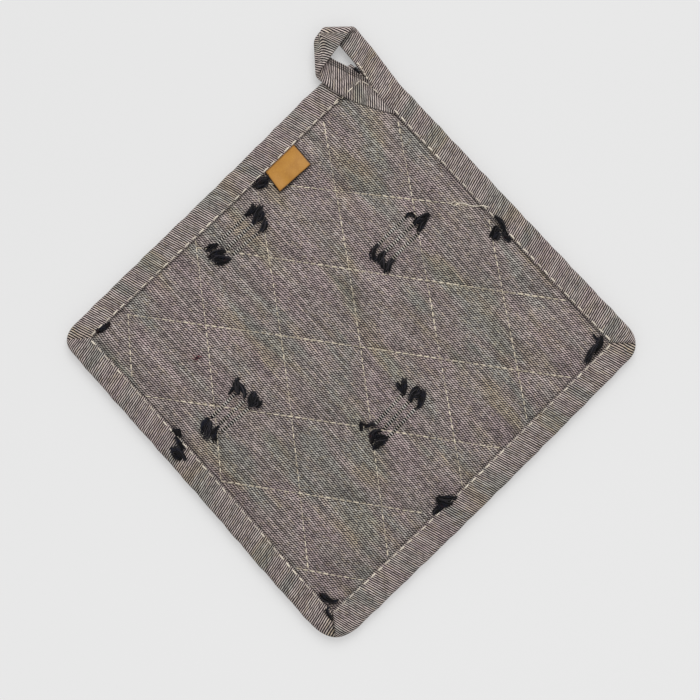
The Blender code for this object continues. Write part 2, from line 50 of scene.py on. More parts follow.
# The square, corner to corner before its corners are rounded.
CORNERS = {
    "top": (5.2, 136.8),
    "right": (139.4, -5.8),
    "bottom": (-8.1, -151.3),
    "left": (-138.3, -3.5),
}
SIDE_COLUMNS = ("name", "start", "end", "seam_at_start", "seam_at_end", "bow")
SIDE_ROWS = (
    ("top_right", "top", "right", 11.6, 11.9, -0.4),
    ("bottom_right", "right", "bottom", 12.2, 14.2, 0.9),
    ("bottom_left", "bottom", "left", 11.8, 11.8, 0.3),
    ("top_left", "left", "top", 10.2, 12.4, 0.5),
)
STRIP_ROUNDING = {"right": 12.5, "bottom": 17.5, "left": 10.0}
SEAM_ROUNDING = 2.0

# How far the grain drifts sideways in the middle of the cloth.
DRIFT = 2.6
DRIFT_CENTRE_X = -30.0
DRIFT_SPREAD = 60.0
DRIFT_HEIGHT = 220.0
BOW_DEPTH = 90.0

# Quilted pad.
PAD_CELLS = 98
PAD_INSET = 1.9
PAD_ROUNDING = {"top": 25.0, "right": 9.0, "bottom": 13.0, "left": 7.5}
RIM_FRONT = 4.2
RIM_BACK = 1.55
CHANNEL_HEIGHT = 5.5
PUFF_HEIGHT = 7.0
PUFF_REACH = 18.5
EDGE_REACH = 13.0
BACK_LIP = 10.8
BACK_SLOPE = 5.0
BACK_CHANNEL = 0.8
STITCH_GROOVE = 0.75
GROOVE_WIDTH = 1.1
GROOVE_FADE = 2.0
GROOVE_PULSE = 0.25
PUCKER = 0.32
PUCKER_REACH = 5.0
PUCKER_LENGTHS = (7.3, 3.1)
FRONT_FROM = 3.3
FRONT_EASE = 0.8
SEAM_EASE = 4.0
SEAM_PUCKER = 0.25
SEAM_PUCKER_LENGTH = 9.4
CLOTH_WAVE = 0.3
CLOTH_WAVE_LENGTHS = (31.0, 23.0)
# Painted shade: width of the dark band beside the strip, how dark the painted crease shade gets on
# both cloths, and its strength beside the strip.
PAINTED_SHADE_WIDTH = 0.62
PAINTED_CREASE_SHADE = 0.8
SHADE_BESIDE_STRIP = 0.55

# Swelling of the front cloth between its stitches, by cloth simulation.
SWELL_PRESSURE = 60.0
SWELL_GROWTH = -0.022
SWELL_FRAMES = 20
SWELL_CAP = 1.25
HELD_BY_STITCH = 1.2
HELD_BY_SEAM = 0.8

# Quilting lines: the two ends of each, where they meet the seam.
QUILT_COLUMNS = ("family", "start_x", "start_y", "end_x", "end_y")
QUILT_ROWS = (
    ("across", -44.0, 70.2, 65.7, 58.9),
    ("across", -78.0, 40.0, 102.2, 14.9),
    ("across", -107.1, 8.0, 104.1, -21.5),
    ("across", -98.4, -30.5, 70.0, -54.6),
    ("across", -62.9, -70.7, 33.0, -85.4),
    ("across", -26.5, -111.9, 5.7, -117.5),
    ("down", -106.0, 8.8, -104.1, -25.3),
    ("down", -74.7, 43.3, -62.4, -70.7),
    ("down", -45.9, 70.2, -20.3, -112.1),
    ("down", -13.2, 99.6, 17.0, -106.2),
    ("down", 22.2, 100.0, 52.0, -73.1),
    ("down", 65.3, 53.7, 84.7, -51.3),
)

# Bias strip, folded over the pad's edge and turned into the loop.
STRIP_TOP = 5.9
STRIP_LAYER = 1.2
STRIP_BACK_SHARE = 0.86
LAYER_LIMIT = 0.86           # a flap's cloth takes no more than this of half the strip's height
LIP_REACH = 1.6
FOLD_GAP = 0.2
ROLL_SHARE = 1.3
ROLL_POWER = 0.8
STATION_STEP = 1.2
CORNER_STEPS = 26
# Mitre creases: how deep each is and how wide; the depth also sets the painted shade along the crease.
MITRE = {"right": 0.7, "bottom": 0.9, "left": 0.3}
MITRE_WIDTH = 1.6
FLARE = 3.2
FLARE_RUN = 26.0
FLARE_POWER = 1.3
DRAW_IN = 7.0
DRAW_IN_FROM = 0.83
TOP_RIGHT_START = 8.5
TOP_LEFT_END = 190.0

LOOP_WIDTH = 11.4
LOOP_CLOTH = 2.1
LOOP_LAYER = 0.9
LOOP_BACK_SHARE = 0.97
LOOP_APEX = (1.9, 144.7)
LOOP_ALONG = (-0.633, 0.774)
LOOP_ROOT_RUN = 13.1
LOOP_ROOT_CLOSE = 10.0
ROOT_CLOSE_BEFORE = 3.0
LOOP_REST_HEIGHT = 1.75
TOP_FOLD_BEYOND = (-0.02, 1.0)
TOP_FOLD_RADIUS = 2.3
SIDE_FOLD_BEYOND = (-0.9985, -0.055)
SIDE_FOLD_AT = (-17.8, 139.0)
SIDE_FOLD_RADIUS = 1.25
SIDE_FOLD_PINCH = 2.9
TAIL_CLOTH = 1.1
TAIL_OVER_STRIP = 6.2
TAIL_OVER_PAD = 0.25
TAIL_CLIMB_FROM = -3.5
TAIL_CLIMB_RUN = 6.0
TAIL_SETTLE_FROM = 12.0
TAIL_SETTLE_RUN = 5.0
TAIL_BEND = (-5.0, 108.4)
TAIL_END_HIGH = 15.0
TAIL_END_LOW = 36.0
TAIL_TUCK = 0.4
# Lines of the tail's turned hem, each a shallow groove with painted shade along it, and how finely the
# section is sampled there.
HEM_LINES = (0.9, 2.1, 3.3)
HEM_WIDTH = 0.38
HEM_SHADE = 1.0
HEM_DEPTH = 0.2
HEM_STEP = 0.3
HEM_SAMPLES = 12
LIP_DROP = 0.55
DRAG_LINES = 0.12
DRAG_LENGTHS = (11.0, 6.5)
EDGE_WAVE = 0.22
EDGE_WAVE_LENGTH = 17.0
LIP_WAVE = 0.18
LIP_WAVE_LENGTH = 5.9
PULL_REACH = 2.6
FOLD_STEPS = 22
LEG_STEPS = 16
BETWEEN_FOLDS = 9
TAIL_STEPS = 42
TAIL_LIFT = 0.9
TAIL_LIFT_FROM = 6.0
TAIL_LIFT_TO = 44.0
TAIL_LIFT_EASE = (6.0, 8.0)
LIFT_FROM = 0.35
LIFT_RUN = 0.6
TAIL_GRAIN_START = -60.0
TAIL_GRAIN_TURN = 0.3
ROOT_RUN = 8.0

GRAIN_ANGLE = math.radians(-48.2)

# Cloth patterns: distance between ridges and between the beads along them.
PAD_RIDGE = 1.09
PAD_BEAD = 1.15
PAD_BEAD_SHIFT = -0.575
STRIP_RIDGE = 1.03
STRIP_BEAD = 1.9
STRIP_BEAD_SHIFT = 0.5
STRIP_SLANT = 0.27
STREAK_STRETCH = 0.28

# Stitches of cream thread, the loose end of one, and the rows of ticks.
CLEAR_OF_CLOTH = 60.0        # heights are found by looking at the cloth from this far off
QUILT_STITCH = 3.4
QUILT_GAP = 0.2
QUILT_LIFT = 0.02
QUILT_ARCH = 0.14
EDGE_STITCH = 4.7
EDGE_GAP = 0.34
EDGE_LIFT = 0.04
EDGE_ARCH = 0.25
LEG_STITCH = 2.1
LEG_GAP = 0.3
LEG_LIFT = 0.05
THREAD = 0.62
EDGE_THREAD = 0.72
STITCH_CUTS = (-0.42, -0.3, -0.12, 0.12, 0.3, 0.42)
STITCH_TAPER = 0.35
STITCH_MARK = 11.0
EDGE_STITCH_INSET = 0.9
STITCH_PULL = 0.3
SINK = 0.25
SWAY = 0.2
SEAM_CLEAR = 0.2
BACK_LIFT = -0.03            # the ends of a back stitch lie this far inside the cloth
BACK_ARCH = 0.03
BACK_GAP = 0.3
BACK_THREAD = 0.5
THREAD_UNEVEN = 0.22
ENDS_UNEVEN = 0.12
EDGE_ROUTE_START = 33.0
EDGE_ROUTE_END = 175.0
THREAD_LOOP_AT = (48.9, 60.5)
THREAD_LOOP_SIZE = (1.5, 0.85)
THREAD_LOOP_STEPS = 18
THREAD_LOOP_THICK = 0.24
THREAD_END_AT = (65.0, 58.8)
THREAD_END_WAVE = 0.35
THREAD_END_LIFT = 0.3
THREAD_END_BOB = 0.25
TICK_PITCH = 1.24
TICK_LENGTH = 1.8
TICK_UNEVEN = 0.08
TICK_LIFT = 0.02
DARK_TICK = {"thickness": 0.72, "arch": 0.2}
PALE_TICK = {"thickness": 0.56, "arch": 0.24}
TAIL_STITCHES = ((-11.8, 104.3), (-7.1, 108.1), (-3.8, 110.9), (-0.5, 113.8), (4.3, 118.5))
LEG_STITCHES = ((2.8, 127.5), (5.2, 123.8), (8.0, 119.0))
BAR_STITCHES = ((4.3, 118.5), (7.1, 117.1), (8.8, 116.4), (13.7, 111.9))

# The tan tab: its two corners under the lip, then the two free ones.
LABEL_CORNERS = ((-40.3, 75.4), (-27.0, 88.3), (-19.1, 78.8), (-33.6, 66.0))
LABEL_CLOTH = 0.9
LABEL_SEAM_HEIGHT = 4.4
LABEL_FREE_HEIGHT = 7.3
LABEL_BOW = 0.35
LABEL_CURL = 0.35
LABEL_CURL_LENGTH = 26.0
LABEL_ROUNDING = 0.22
LABEL_RIM = 1.1
TAB_SHADOW = 0.75

# Clipped yarn.
FIBRES = 24
FIBRE_STEPS = 8
FIBRE = 0.27
HAIR = 0.13
STRAY_HAIRS = 7
LOOSE_CLUMPS = ("loop_gap", "red_fleck")
YARN_FULLNESS = 1.35
ROOT_SPREAD = 0.45
CLUMP_BASE = 0.22
CLUMP_RISE = 1.5
FIBRE_TWIST = 0.34
FIBRE_TWISTS = (3.0, 7.0)
FIBRE_LONGER = (-0.22, 0.16)
FIBRE_SIZES = (0.75, 1.2)
ROOT_TAPER = 0.3
TIP_TAPER = 0.45
HAIR_FROM = (0.2, 0.8)
HAIR_REACH = (1.0, 2.4)
HAIR_WAVE = 0.45
HAIR_BASE = 0.6
HAIR_RISE = 0.7

# Where each clipped end comes out of the cloth, bends and stops.
YARN_COLUMNS = ("clump", "root_x", "root_y", "bend_x", "bend_y", "tip_x", "tip_y", "thickness")
YARN_ROWS = (
    ("upper_left_a", -49.9, 54.9, -46.1, 55.8, -46.1, 59.6, 1.00),
    ("upper_left_a", -46.1, 51.1, -44.5, 55.3, -42.8, 59.1, 1.15),
    ("upper_left_a", -42.8, 47.3, -40.4, 49.4, -40.2, 53.0, 1.00),
    ("upper_left_a", -44.5, 52.3, -42.6, 52.7, -41.6, 56.5, 0.90),
    ("upper_left_b", -63.4, 40.9, -66.0, 40.4, -68.6, 38.5, 0.90),
    ("upper_left_b", -59.6, 38.1, -63.9, 37.6, -67.2, 34.5, 1.10),
    ("upper_left_b", -56.8, 34.1, -61.5, 35.0, -65.5, 35.5, 1.10),
    ("upper_left_b", -57.7, 33.1, -61.0, 32.2, -64.8, 33.1, 1.00),
    ("upper_right_a", 25.8, 53.9, 26.7, 56.8, 30.3, 54.4, 0.60),
    ("upper_right_a", 29.8, 50.8, 31.5, 54.2, 36.2, 55.3, 1.15),
    ("upper_right_a", 31.7, 47.5, 33.6, 50.1, 35.9, 53.9, 1.05),
    ("upper_right_a", 30.5, 52.0, 32.4, 51.8, 34.5, 52.7, 1.00),
    ("upper_right_b", 13.0, 40.9, 8.8, 38.1, 11.1, 34.1, 0.95),
    ("upper_right_b", 16.1, 37.8, 14.0, 35.2, 13.0, 32.2, 1.10),
    ("upper_right_b", 19.6, 34.3, 17.5, 31.5, 16.3, 27.9, 1.10),
    ("upper_right_b", 15.6, 34.3, 14.2, 31.7, 16.1, 29.3, 1.05),
    ("lower_left_a", -57.7, -29.6, -55.1, -26.0, -53.4, -22.5, 0.55),
    ("lower_left_a", -53.0, -29.6, -53.9, -26.5, -54.6, -23.2, 0.90),
    ("lower_left_a", -50.4, -31.7, -49.4, -27.4, -52.7, -24.8, 0.60),
    ("lower_left_a", -47.8, -35.7, -47.3, -31.7, -46.4, -28.9, 1.20),
    ("lower_left_a", -47.1, -35.0, -44.2, -34.3, -44.2, -30.5, 1.10),
    ("lower_left_a", -44.9, -35.9, -42.3, -34.8, -42.6, -32.9, 0.35),
    ("lower_left_b", -67.4, -40.7, -70.2, -43.8, -69.5, -48.0, 1.10),
    ("lower_left_b", -66.5, -42.1, -66.7, -46.6, -68.6, -50.6, 1.20),
    ("lower_left_b", -62.7, -44.7, -66.0, -47.5, -64.3, -52.0, 0.85),
    ("lower_right_a", 24.8, -29.8, 25.3, -26.3, 25.1, -22.7, 0.95),
    ("lower_right_a", 24.4, -28.9, 22.9, -26.7, 21.8, -24.6, 0.80),
    ("lower_right_a", 27.7, -32.9, 28.6, -28.9, 31.9, -26.7, 1.15),
    ("lower_right_a", 31.2, -36.2, 33.8, -32.9, 34.1, -28.4, 1.10),
    ("lower_right_a", 29.1, -30.7, 31.5, -30.7, 32.9, -28.9, 0.90),
    ("lower_right_b", 11.6, -44.5, 9.0, -43.0, 7.1, -45.2, 0.60),
    ("lower_right_b", 8.0, -44.9, 3.5, -41.4, 5.0, -46.8, 0.35),
    ("lower_right_b", 14.0, -46.8, 9.5, -46.8, 9.7, -52.0, 1.20),
    ("lower_right_b", 17.3, -50.8, 14.0, -49.4, 11.4, -51.1, 1.20),
    ("lower_right_b", 16.1, -52.0, 12.8, -53.4, 10.2, -54.9, 0.90),
    ("by_label", -38.5, 72.8, -41.9, 72.1, -45.6, 69.1, 0.95),
    ("by_label", -39.3, 71.0, -41.9, 68.3, -44.7, 68.3, 0.90),
    ("by_top_right_seam", 68.1, 54.6, 71.7, 51.8, 73.6, 46.8, 0.80),
    ("by_top_right_seam", 70.7, 48.2, 68.3, 51.1, 66.5, 44.5, 1.10),
    ("by_top_right_seam", 70.5, 46.6, 69.3, 44.7, 68.1, 43.8, 0.90),
    ("by_top_right_seam", 71.7, 47.3, 72.4, 43.8, 75.4, 43.3, 0.80),
    ("by_right_corner", 118.7, -2.1, 118.2, -5.9, 114.9, -9.9, 1.05),
    ("by_right_corner", 114.7, -1.4, 116.4, -5.0, 118.0, -4.7, 0.60),
    ("by_right_corner", 116.6, -5.9, 113.3, -9.2, 111.6, -14.0, 1.05),
    ("by_left_corner", -114.2, 4.0, -116.6, 1.9, -119.9, 0.2, 0.75),
    ("by_left_corner", -115.2, 2.6, -117.1, 1.2, -118.2, 1.4, 0.80),
    ("by_lower_left_seam", -84.7, -47.1, -82.3, -45.6, -81.1, -49.9, 1.00),
    ("by_lower_left_seam", -83.2, -49.9, -81.6, -51.8, -79.5, -55.8, 0.85),
    ("on_binding", -85.6, -55.1, -82.8, -55.8, -80.4, -59.1, 0.70),
    ("on_binding", -83.7, -54.4, -80.4, -56.1, -78.8, -60.1, 0.60),
    ("on_binding", -84.9, -56.8, -83.2, -59.6, -80.9, -60.3, 0.55),
    ("by_lower_right_seam", 50.1, -78.5, 45.9, -79.5, 40.7, -78.5, 0.85),
    ("by_lower_right_seam", 48.0, -80.9, 44.7, -82.3, 40.9, -80.6, 1.10),
    ("by_lower_right_seam", 45.2, -83.0, 42.1, -82.1, 39.3, -86.1, 0.80),
    ("by_bottom_corner", -6.1, -127.5, -9.9, -129.1, -14.2, -124.4, 0.85),
    ("by_bottom_corner", -10.2, -130.3, -13.0, -132.4, -9.2, -136.0, 0.50),
    ("loop_gap", 3.8, 121.8, 2.8, 123.5, 1.9, 124.6, 0.60),
    ("red_fleck", -73.6, -13.0, -72.9, -12.3, -72.1, -12.2, 0.28),
)

# The two ends of each row of ticks.
FLOAT_COLUMNS = ("start_x", "start_y", "end_x", "end_y")
FLOAT_ROWS = (
    (-63.2, 41.4, -49.7, 54.4),
    (-59.6, 38.3, -46.3, 50.8),
    (-55.7, 36.6, -43.8, 46.7),
    (12.8, 40.9, 25.5, 53.7),
    (16.1, 37.6, 29.8, 50.8),
    (19.4, 34.3, 31.7, 46.1),
    (-65.7, -40.4, -54.9, -29.6),
    (-62.0, -43.7, -50.5, -32.8),
    (-60.8, -47.0, -48.4, -36.4),
    (11.4, -43.8, 23.9, -30.3),
    (15.7, -46.0, 26.8, -33.7),
    (17.9, -49.8, 30.2, -36.8),
)

# Colours, as linear red, green and blue.
DARK_YARN = (0.026, 0.020, 0.023)
PAD_YARN = (0.522, 0.439, 0.409)
STRIP_YARN = (0.652, 0.550, 0.509)
OCHRE_YARN = (0.539, 0.444, 0.291)
GREEN_YARN = (0.400, 0.422, 0.370)
PURPLE_YARN = (0.539, 0.413, 0.422)
PALE_YARN = (0.696, 0.661, 0.609)
THREAD_LIGHT = (0.85, 0.775, 0.65)
THREAD_SHADE = (0.56, 0.50, 0.43)
QUILT_THREAD_LIGHT = (0.82, 0.735, 0.58)
QUILT_THREAD_SHADE = (0.50, 0.44, 0.34)
PLY_GAP_SHADE = (0.16, 0.13, 0.11)
YARN_BLACK = (0.005, 0.0045, 0.005)
FLECK_RED = (0.20, 0.018, 0.035)
YARN_BLUE = (0.009, 0.010, 0.019)
YARN_GREY = (0.034, 0.031, 0.036)
YARN_RED = (0.035, 0.008, 0.009)
TAN = (0.435, 0.20, 0.025)
TAN_RIM = (0.13, 0.055, 0.012)
TAN_DARK = (0.385, 0.170, 0.021)
TAN_LIGHT = (0.51, 0.26, 0.045)
FLOOR_COLOUR = (0.44, 0.44, 0.44)
FLOOR_DROP = 0.2             # keeps the floor just clear of the back cloth
FLOOR_GLOW = 0.38
FLOOR_NEAR = (1.04, 1.04, 1.04)
FLOOR_FAR = (0.83, 0.83, 0.83)
FLOOR_FADE = 0.22            # how far behind and before the middle the glow changes, in metres

# How the two cloths are woven. Their ridges stray within "wobble" and "swing" millimetres,
# "middle" and "edge" say where a bead of yarn ends, and a low "run" makes long streaks.
PAD_LOOK = {
    "ridge": PAD_RIDGE, "bead": PAD_BEAD, "shift": PAD_BEAD_SHIFT, "beading": 0.47,
    "wobble": 0.55, "swing": 1.7, "speckle": 0.2, "middle": 0.56, "edge": 0.2,
    "yarn": PAD_YARN, "uneven": 0.16, "streak": 0.46, "run": 0.03, "pale": 0.3, "cloud": 0.35,
}
STRIP_LOOK = {
    "ridge": STRIP_RIDGE, "bead": STRIP_BEAD, "shift": STRIP_BEAD_SHIFT, "beading": 0.16,
    "wobble": 0.6, "swing": 2.0, "speckle": 0.2, "middle": 0.64, "edge": 0.1,
    "yarn": STRIP_YARN, "uneven": 0.16, "streak": 0.3, "run": 0.08, "pale": 0.35, "cloud": 0.3,
}
WOBBLE_SCALE = 0.16
SWING_SCALE = 0.03
ROW_SLIP = 0.12
BEAD_WOBBLE = 1.6
STREAK_ACROSS = 0.72
STREAK_EDGES = (0.36, 0.64)
# Scale, detail and seed of the clouds that place the ochre yarn, the green and purple, the shade.
CLOUDS = ((0.085, 2.5, 1.0), (0.095, 2.5, 5.0), (0.12, 2.0, 14.0))
PLY_TURN = 7.0
PLY_SLANT = 1.4

# Camera and light.
LENS = 85.0
SENSOR = 36.0
FRAME_WIDTH = 331.1
VIEW_CENTRE = (-0.5, -8.75)
VIEW_HEIGHT = 6.0
WINDOW_PLACE = (0.1, 0.85, 1.05)
WINDOW_SIZE = 0.9
WINDOW_POWER = 10.5
ROOM_LIGHT = 0.63


def smooth(value):
    """Ease from 0 to 1 as the value goes from 0 to 1."""
    value = np.clip(value, 0.0, 1.0)
    return value * value * (3.0 - 2.0 * value)


def named_rows(columns, rows):
    return [dict(zip(columns, row)) for row in rows]


def wander(values, length, seed):
    """Smooth wandering between about -1 and 1, over the given length."""
    turn = np.asarray(values) * (2.0 * math.pi / length)
    return (np.sin(turn + seed) + 0.6 * np.sin(1.618 * turn + 2.3 * seed)
            + 0.4 * np.sin(2.718 * turn + 4.1 * seed)) / 2.0


def unit(vector):
    return vector / np.linalg.norm(vector)


def meeting_point(point_a, along_a, point_b, along_b):
    """Where two straight lines of the plane cross."""
    cross = along_a[0] * along_b[1] - along_a[1] * along_b[0]
    between = point_b - point_a
    return point_a + along_a * ((between[0] * along_b[1] - between[1] * along_b[0]) / cross)


def turned_left(along):
    return np.array((-along[1], along[0]))


class Side:
    """One side of the square, run clockwise as seen from the front."""

    def __init__(self, row):
        self.start_name, self.end_name = row["start"], row["end"]
        self.start = np.array(CORNERS[row["start"]])
        self.end = np.array(CORNERS[row["end"]])
        self.length = np.linalg.norm(self.end - self.start)
        self.along = unit(self.end - self.start)
        self.inward = -turned_left(self.along)
        self.bow = row["bow"]
        self.width_start, self.width_end = row["seam_at_start"], row["seam_at_end"]
        self.seam_start = self.start + self.inward * self.width_start
        self.seam_along = unit(self.end + self.inward * self.width_end - self.seam_start)

    def run(self, points):
        return (points - self.start) @ self.along

    def inset(self, points):
        return (points - self.start) @ self.inward

    def seam_inset(self, points):
        """Distance inside the line where the strip ends."""
        widening = (self.width_end - self.width_start) / self.length
        return self.inset(points) - self.width_start - widening * self.run(points)

    def at(self, run, inset):
        return self.start + self.along * run + self.inward * inset


SIDES = {row["name"]: Side(row) for row in named_rows(SIDE_COLUMNS, SIDE_ROWS)}
SIDE_RING = [SIDES[row[0]] for row in SIDE_ROWS]
QUILTING = named_rows(QUILT_COLUMNS, QUILT_ROWS)
GRAIN_ALONG = np.array((math.cos(GRAIN_ANGLE), math.sin(GRAIN_ANGLE)))
GRAIN_ACROSS = turned_left(GRAIN_ALONG)


def seam_corner(before, after):
    return meeting_point(before.seam_start, before.seam_along,
                         after.seam_start, after.seam_along)


def drift(points):
    """Sideways shift of the cloth: bowed sides, and a grain that wanders mid way."""
    points = np.asarray(points, dtype=float)
    shift = np.zeros_like(points)
    for side in SIDE_RING:
        share = np.sin(math.pi * np.clip(side.run(points) / side.length, 0.0, 1.0))
        near = 1.0 - smooth(side.inset(points) / BOW_DEPTH)
        shift -= side.inward * (side.bow * share * near)[..., None]
    across = np.exp(-((points[..., 0] - DRIFT_CENTRE_X) / DRIFT_SPREAD) ** 2)
    level = np.maximum(np.cos(math.pi * points[..., 1] / DRIFT_HEIGHT), 0.0)
    shift[..., 0] += DRIFT * across * level
    return shift


def straightened(points):
    """The place that the drift carries to this point."""
    return points - drift(points - drift(points))


def curve_between(before, corner, after, share):
    """A point of the curve that rounds a corner between two tangent points."""
    return (before * (1 - share) ** 2 + corner * (2 * share * (1 - share))
            + after * share ** 2)


# ---------------------------------------------------------------- mesh helpers

def select_only(piece):
    bpy.ops.object.select_all(action="DESELECT")
    piece.select_set(True)
    bpy.context.view_layer.objects.active = piece


def apply_modifier(piece, kind, **settings):
    """Add a modifier with its settings and make its result the mesh."""
    modifier = piece.modifiers.new(kind.lower(), kind)
    for name, value in settings.items():
        setattr(modifier, name, value)
    select_only(piece)
    bpy.ops.object.modifier_apply(modifier=modifier.name)


def mesh_piece(name, points, faces):
    """A piece from points in millimetres and the faces between them."""
    mesh = bpy.data.meshes.new(name)
    faces = faces.tolist() if isinstance(faces, np.ndarray) else faces
    mesh.from_pydata((np.asarray(points) * MM).tolist(), [], faces)
    mesh.shade_smooth()
    piece = bpy.data.objects.new(name, mesh)
    bpy.context.scene.collection.objects.link(piece)
    return piece


def points_of(piece):
    """The piece's points in millimetres."""
    points = np.empty(len(piece.data.vertices) * 3)
    piece.data.vertices.foreach_get("co", points)
    return points.reshape(-1, 3) / MM


def move_points(piece, points):
    piece.data.vertices.foreach_set("co", (points * MM).ravel())
    piece.data.update()


def grid_faces(rows, columns, first=0, closed=False):
    """Four-sided faces between rows of points, each row closed into a ring or open."""
    count = columns if closed else columns - 1
    row, column = np.meshgrid(np.arange(rows - 1), np.arange(count), indexing="ij")
    onward = (column + 1) % columns
    faces = np.stack((row * columns + column, row * columns + onward,
                      (row + 1) * columns + onward, (row + 1) * columns + column), axis=-1)
    return faces.reshape(-1, 4) + first


def tubes(paths, radii, sides):
    """Thin round tubes along paths, all with the same number of points, ends drawn to a tip."""
    paths, radii = np.asarray(paths), np.asarray(radii)
    count, steps = paths.shape[:2]
    along = np.gradient(paths, axis=1)
    along /= np.linalg.norm(along, axis=2, keepdims=True) + 1e-9
    across = np.cross(along, (0.13, 0.21, 0.97))
    across /= np.linalg.norm(across, axis=2, keepdims=True) + 1e-9
    other = np.cross(along, across)
    turn = np.arange(sides) * (2.0 * math.pi / sides)
    ring = across[:, :, None] * np.cos(turn)[:, None] + other[:, :, None] * np.sin(turn)[:, None]
    points = paths[:, :, None] + ring * radii[:, :, None, None]
    points = points.reshape(count, steps * sides, 3)
    tips = np.stack((paths[:, 0] - along[:, 0] * radii[:, :1],
                     paths[:, -1] + along[:, -1] * radii[:, -1:]), axis=1)
    points = np.concatenate((points, tips), axis=1)
    each = steps * sides + 2
    body = grid_faces(steps, sides, closed=True)[:, ::-1]
    index = np.arange(sides)
    following = (index + 1) % sides
    last = (steps - 1) * sides
    start_cap = np.stack((index, following, np.full(sides, each - 2)), axis=1)
    end_cap = np.stack((following + last, index + last, np.full(sides, each - 1)), axis=1)
    faces = []
    for number in range(count):
        faces += (body + number * each).tolist()
        faces += (start_cap + number * each).tolist()
        faces += (end_cap + number * each).tolist()
    return points.reshape(-1, 3), faces


# ---------------------------------------------------------------- quilted pad

def quilt_lines(family):
    """Start, end and left-hand normal of each quilting line of a family."""
    lines = []
    for row in QUILTING:
        if row["family"] == family:
            start = np.array((row["start_x"], row["start_y"]))
            end = np.array((row["end_x"], row["end_y"]))
            lines.append((start, end, turned_left(unit(end - start))))
    return lines


def quilt_distances(points):
    """Distance to the nearest quilting line of each family."""
    return [np.min([np.abs((points - start) @ normal) for start, _, normal in quilt_lines(family)],
                   axis=0) for family in ("across", "down")]


def seam_distance(points):
    return np.min([side.seam_inset(points) for side in SIDE_RING], axis=0)


def puff(points):
    """0 on a quilting line and 1 in the middle of a diamond."""
    share = 1.0
    for nearest in quilt_distances(points):
        share = share * (1.0 - (1.0 - np.minimum(nearest / PUFF_REACH, 1.0)) ** 2)
    return share


def pad_front(points):
    """Height of the front cloth over points of the straight square."""
    swell = 1.0 - (1.0 - np.clip(seam_distance(points) / EDGE_REACH, 0.0, 1.0)) ** 2
    full = CHANNEL_HEIGHT + (PUFF_HEIGHT - CHANNEL_HEIGHT) * puff(points)
    return RIM_FRONT + (full - RIM_FRONT) * swell


def pad_back(points):
    """Height of the back cloth: it rests on the floor and lifts to pass under the lip."""
    inside = np.min([side.inset(points) for side in SIDE_RING], axis=0)
    lifted = 1.0 - smooth((inside - BACK_LIP) / BACK_SLOPE)
    channel = BACK_CHANNEL * (1.0 - puff(points)) ** 3
    return channel + (RIM_BACK - channel) * lifted


def pad_corner(before, after):
    return meeting_point(before.at(0, PAD_INSET), before.along,
                         after.at(0, PAD_INSET), after.along)


def round_corner(points, corner, before, after, rounding):
    """Draw the corner of the grid in to a round one."""
    frame_of_corner = np.stack((after.along, -before.along), axis=1)
    reach = (points - corner) @ np.linalg.inv(frame_of_corner).T
    inside = np.all(reach < rounding, axis=-1)
    share = np.clip(1.0 - reach / rounding, 0.0, 1.0)
    drawn = share * np.sqrt(1.0 - share[..., ::-1] ** 2 / 2.0)
    moved = corner + (rounding * (1.0 - drawn)) @ frame_of_corner.T
    return np.where(inside[..., None], moved, points)


def pad_grid(cells):
    """Places of the pad's cloth, from the left corner to the top and to the bottom."""
    corners = {after.start_name: (pad_corner(before, after), before, after)
               for before, after in zip(SIDE_RING[-1:] + SIDE_RING[:-1], SIDE_RING)}
    share = np.linspace(0.0, 1.0, cells + 1)
    up, down = np.meshgrid(share, share, indexing="ij")
    up, down = up[..., None], down[..., None]
    places = (corners["left"][0] * (1 - up) * (1 - down) + corners["top"][0] * up * (1 - down)
              + corners["right"][0] * up * down + corners["bottom"][0] * (1 - up) * down)
    for name, (corner, before, after) in corners.items():
        places = round_corner(places, corner, before, after, PAD_ROUNDING[name])
    return places


def closed_pad(places):
    """Front and back cloth of the pad, joined round the rim."""
    size = places.shape[0]
    flat = places.reshape(-1, 2)
    shifted = flat + drift(flat)
    front = np.column_stack((shifted, pad_front(flat)))
    back = np.column_stack((shifted, pad_back(flat)))
    top_faces = grid_faces(size, size)
    index = np.arange(size * size).reshape(size, size)
    rim = np.concatenate((index[0, :-1], index[:-1, -1], index[-1, :0:-1], index[:0:-1, 0]))
    onward = np.roll(rim, -1)
    wall = np.stack((rim, onward, onward + size * size, rim + size * size), axis=1)
    faces = np.concatenate((top_faces, top_faces[:, ::-1] + size * size, wall[:, ::-1]))
    return np.concatenate((front, back)), faces


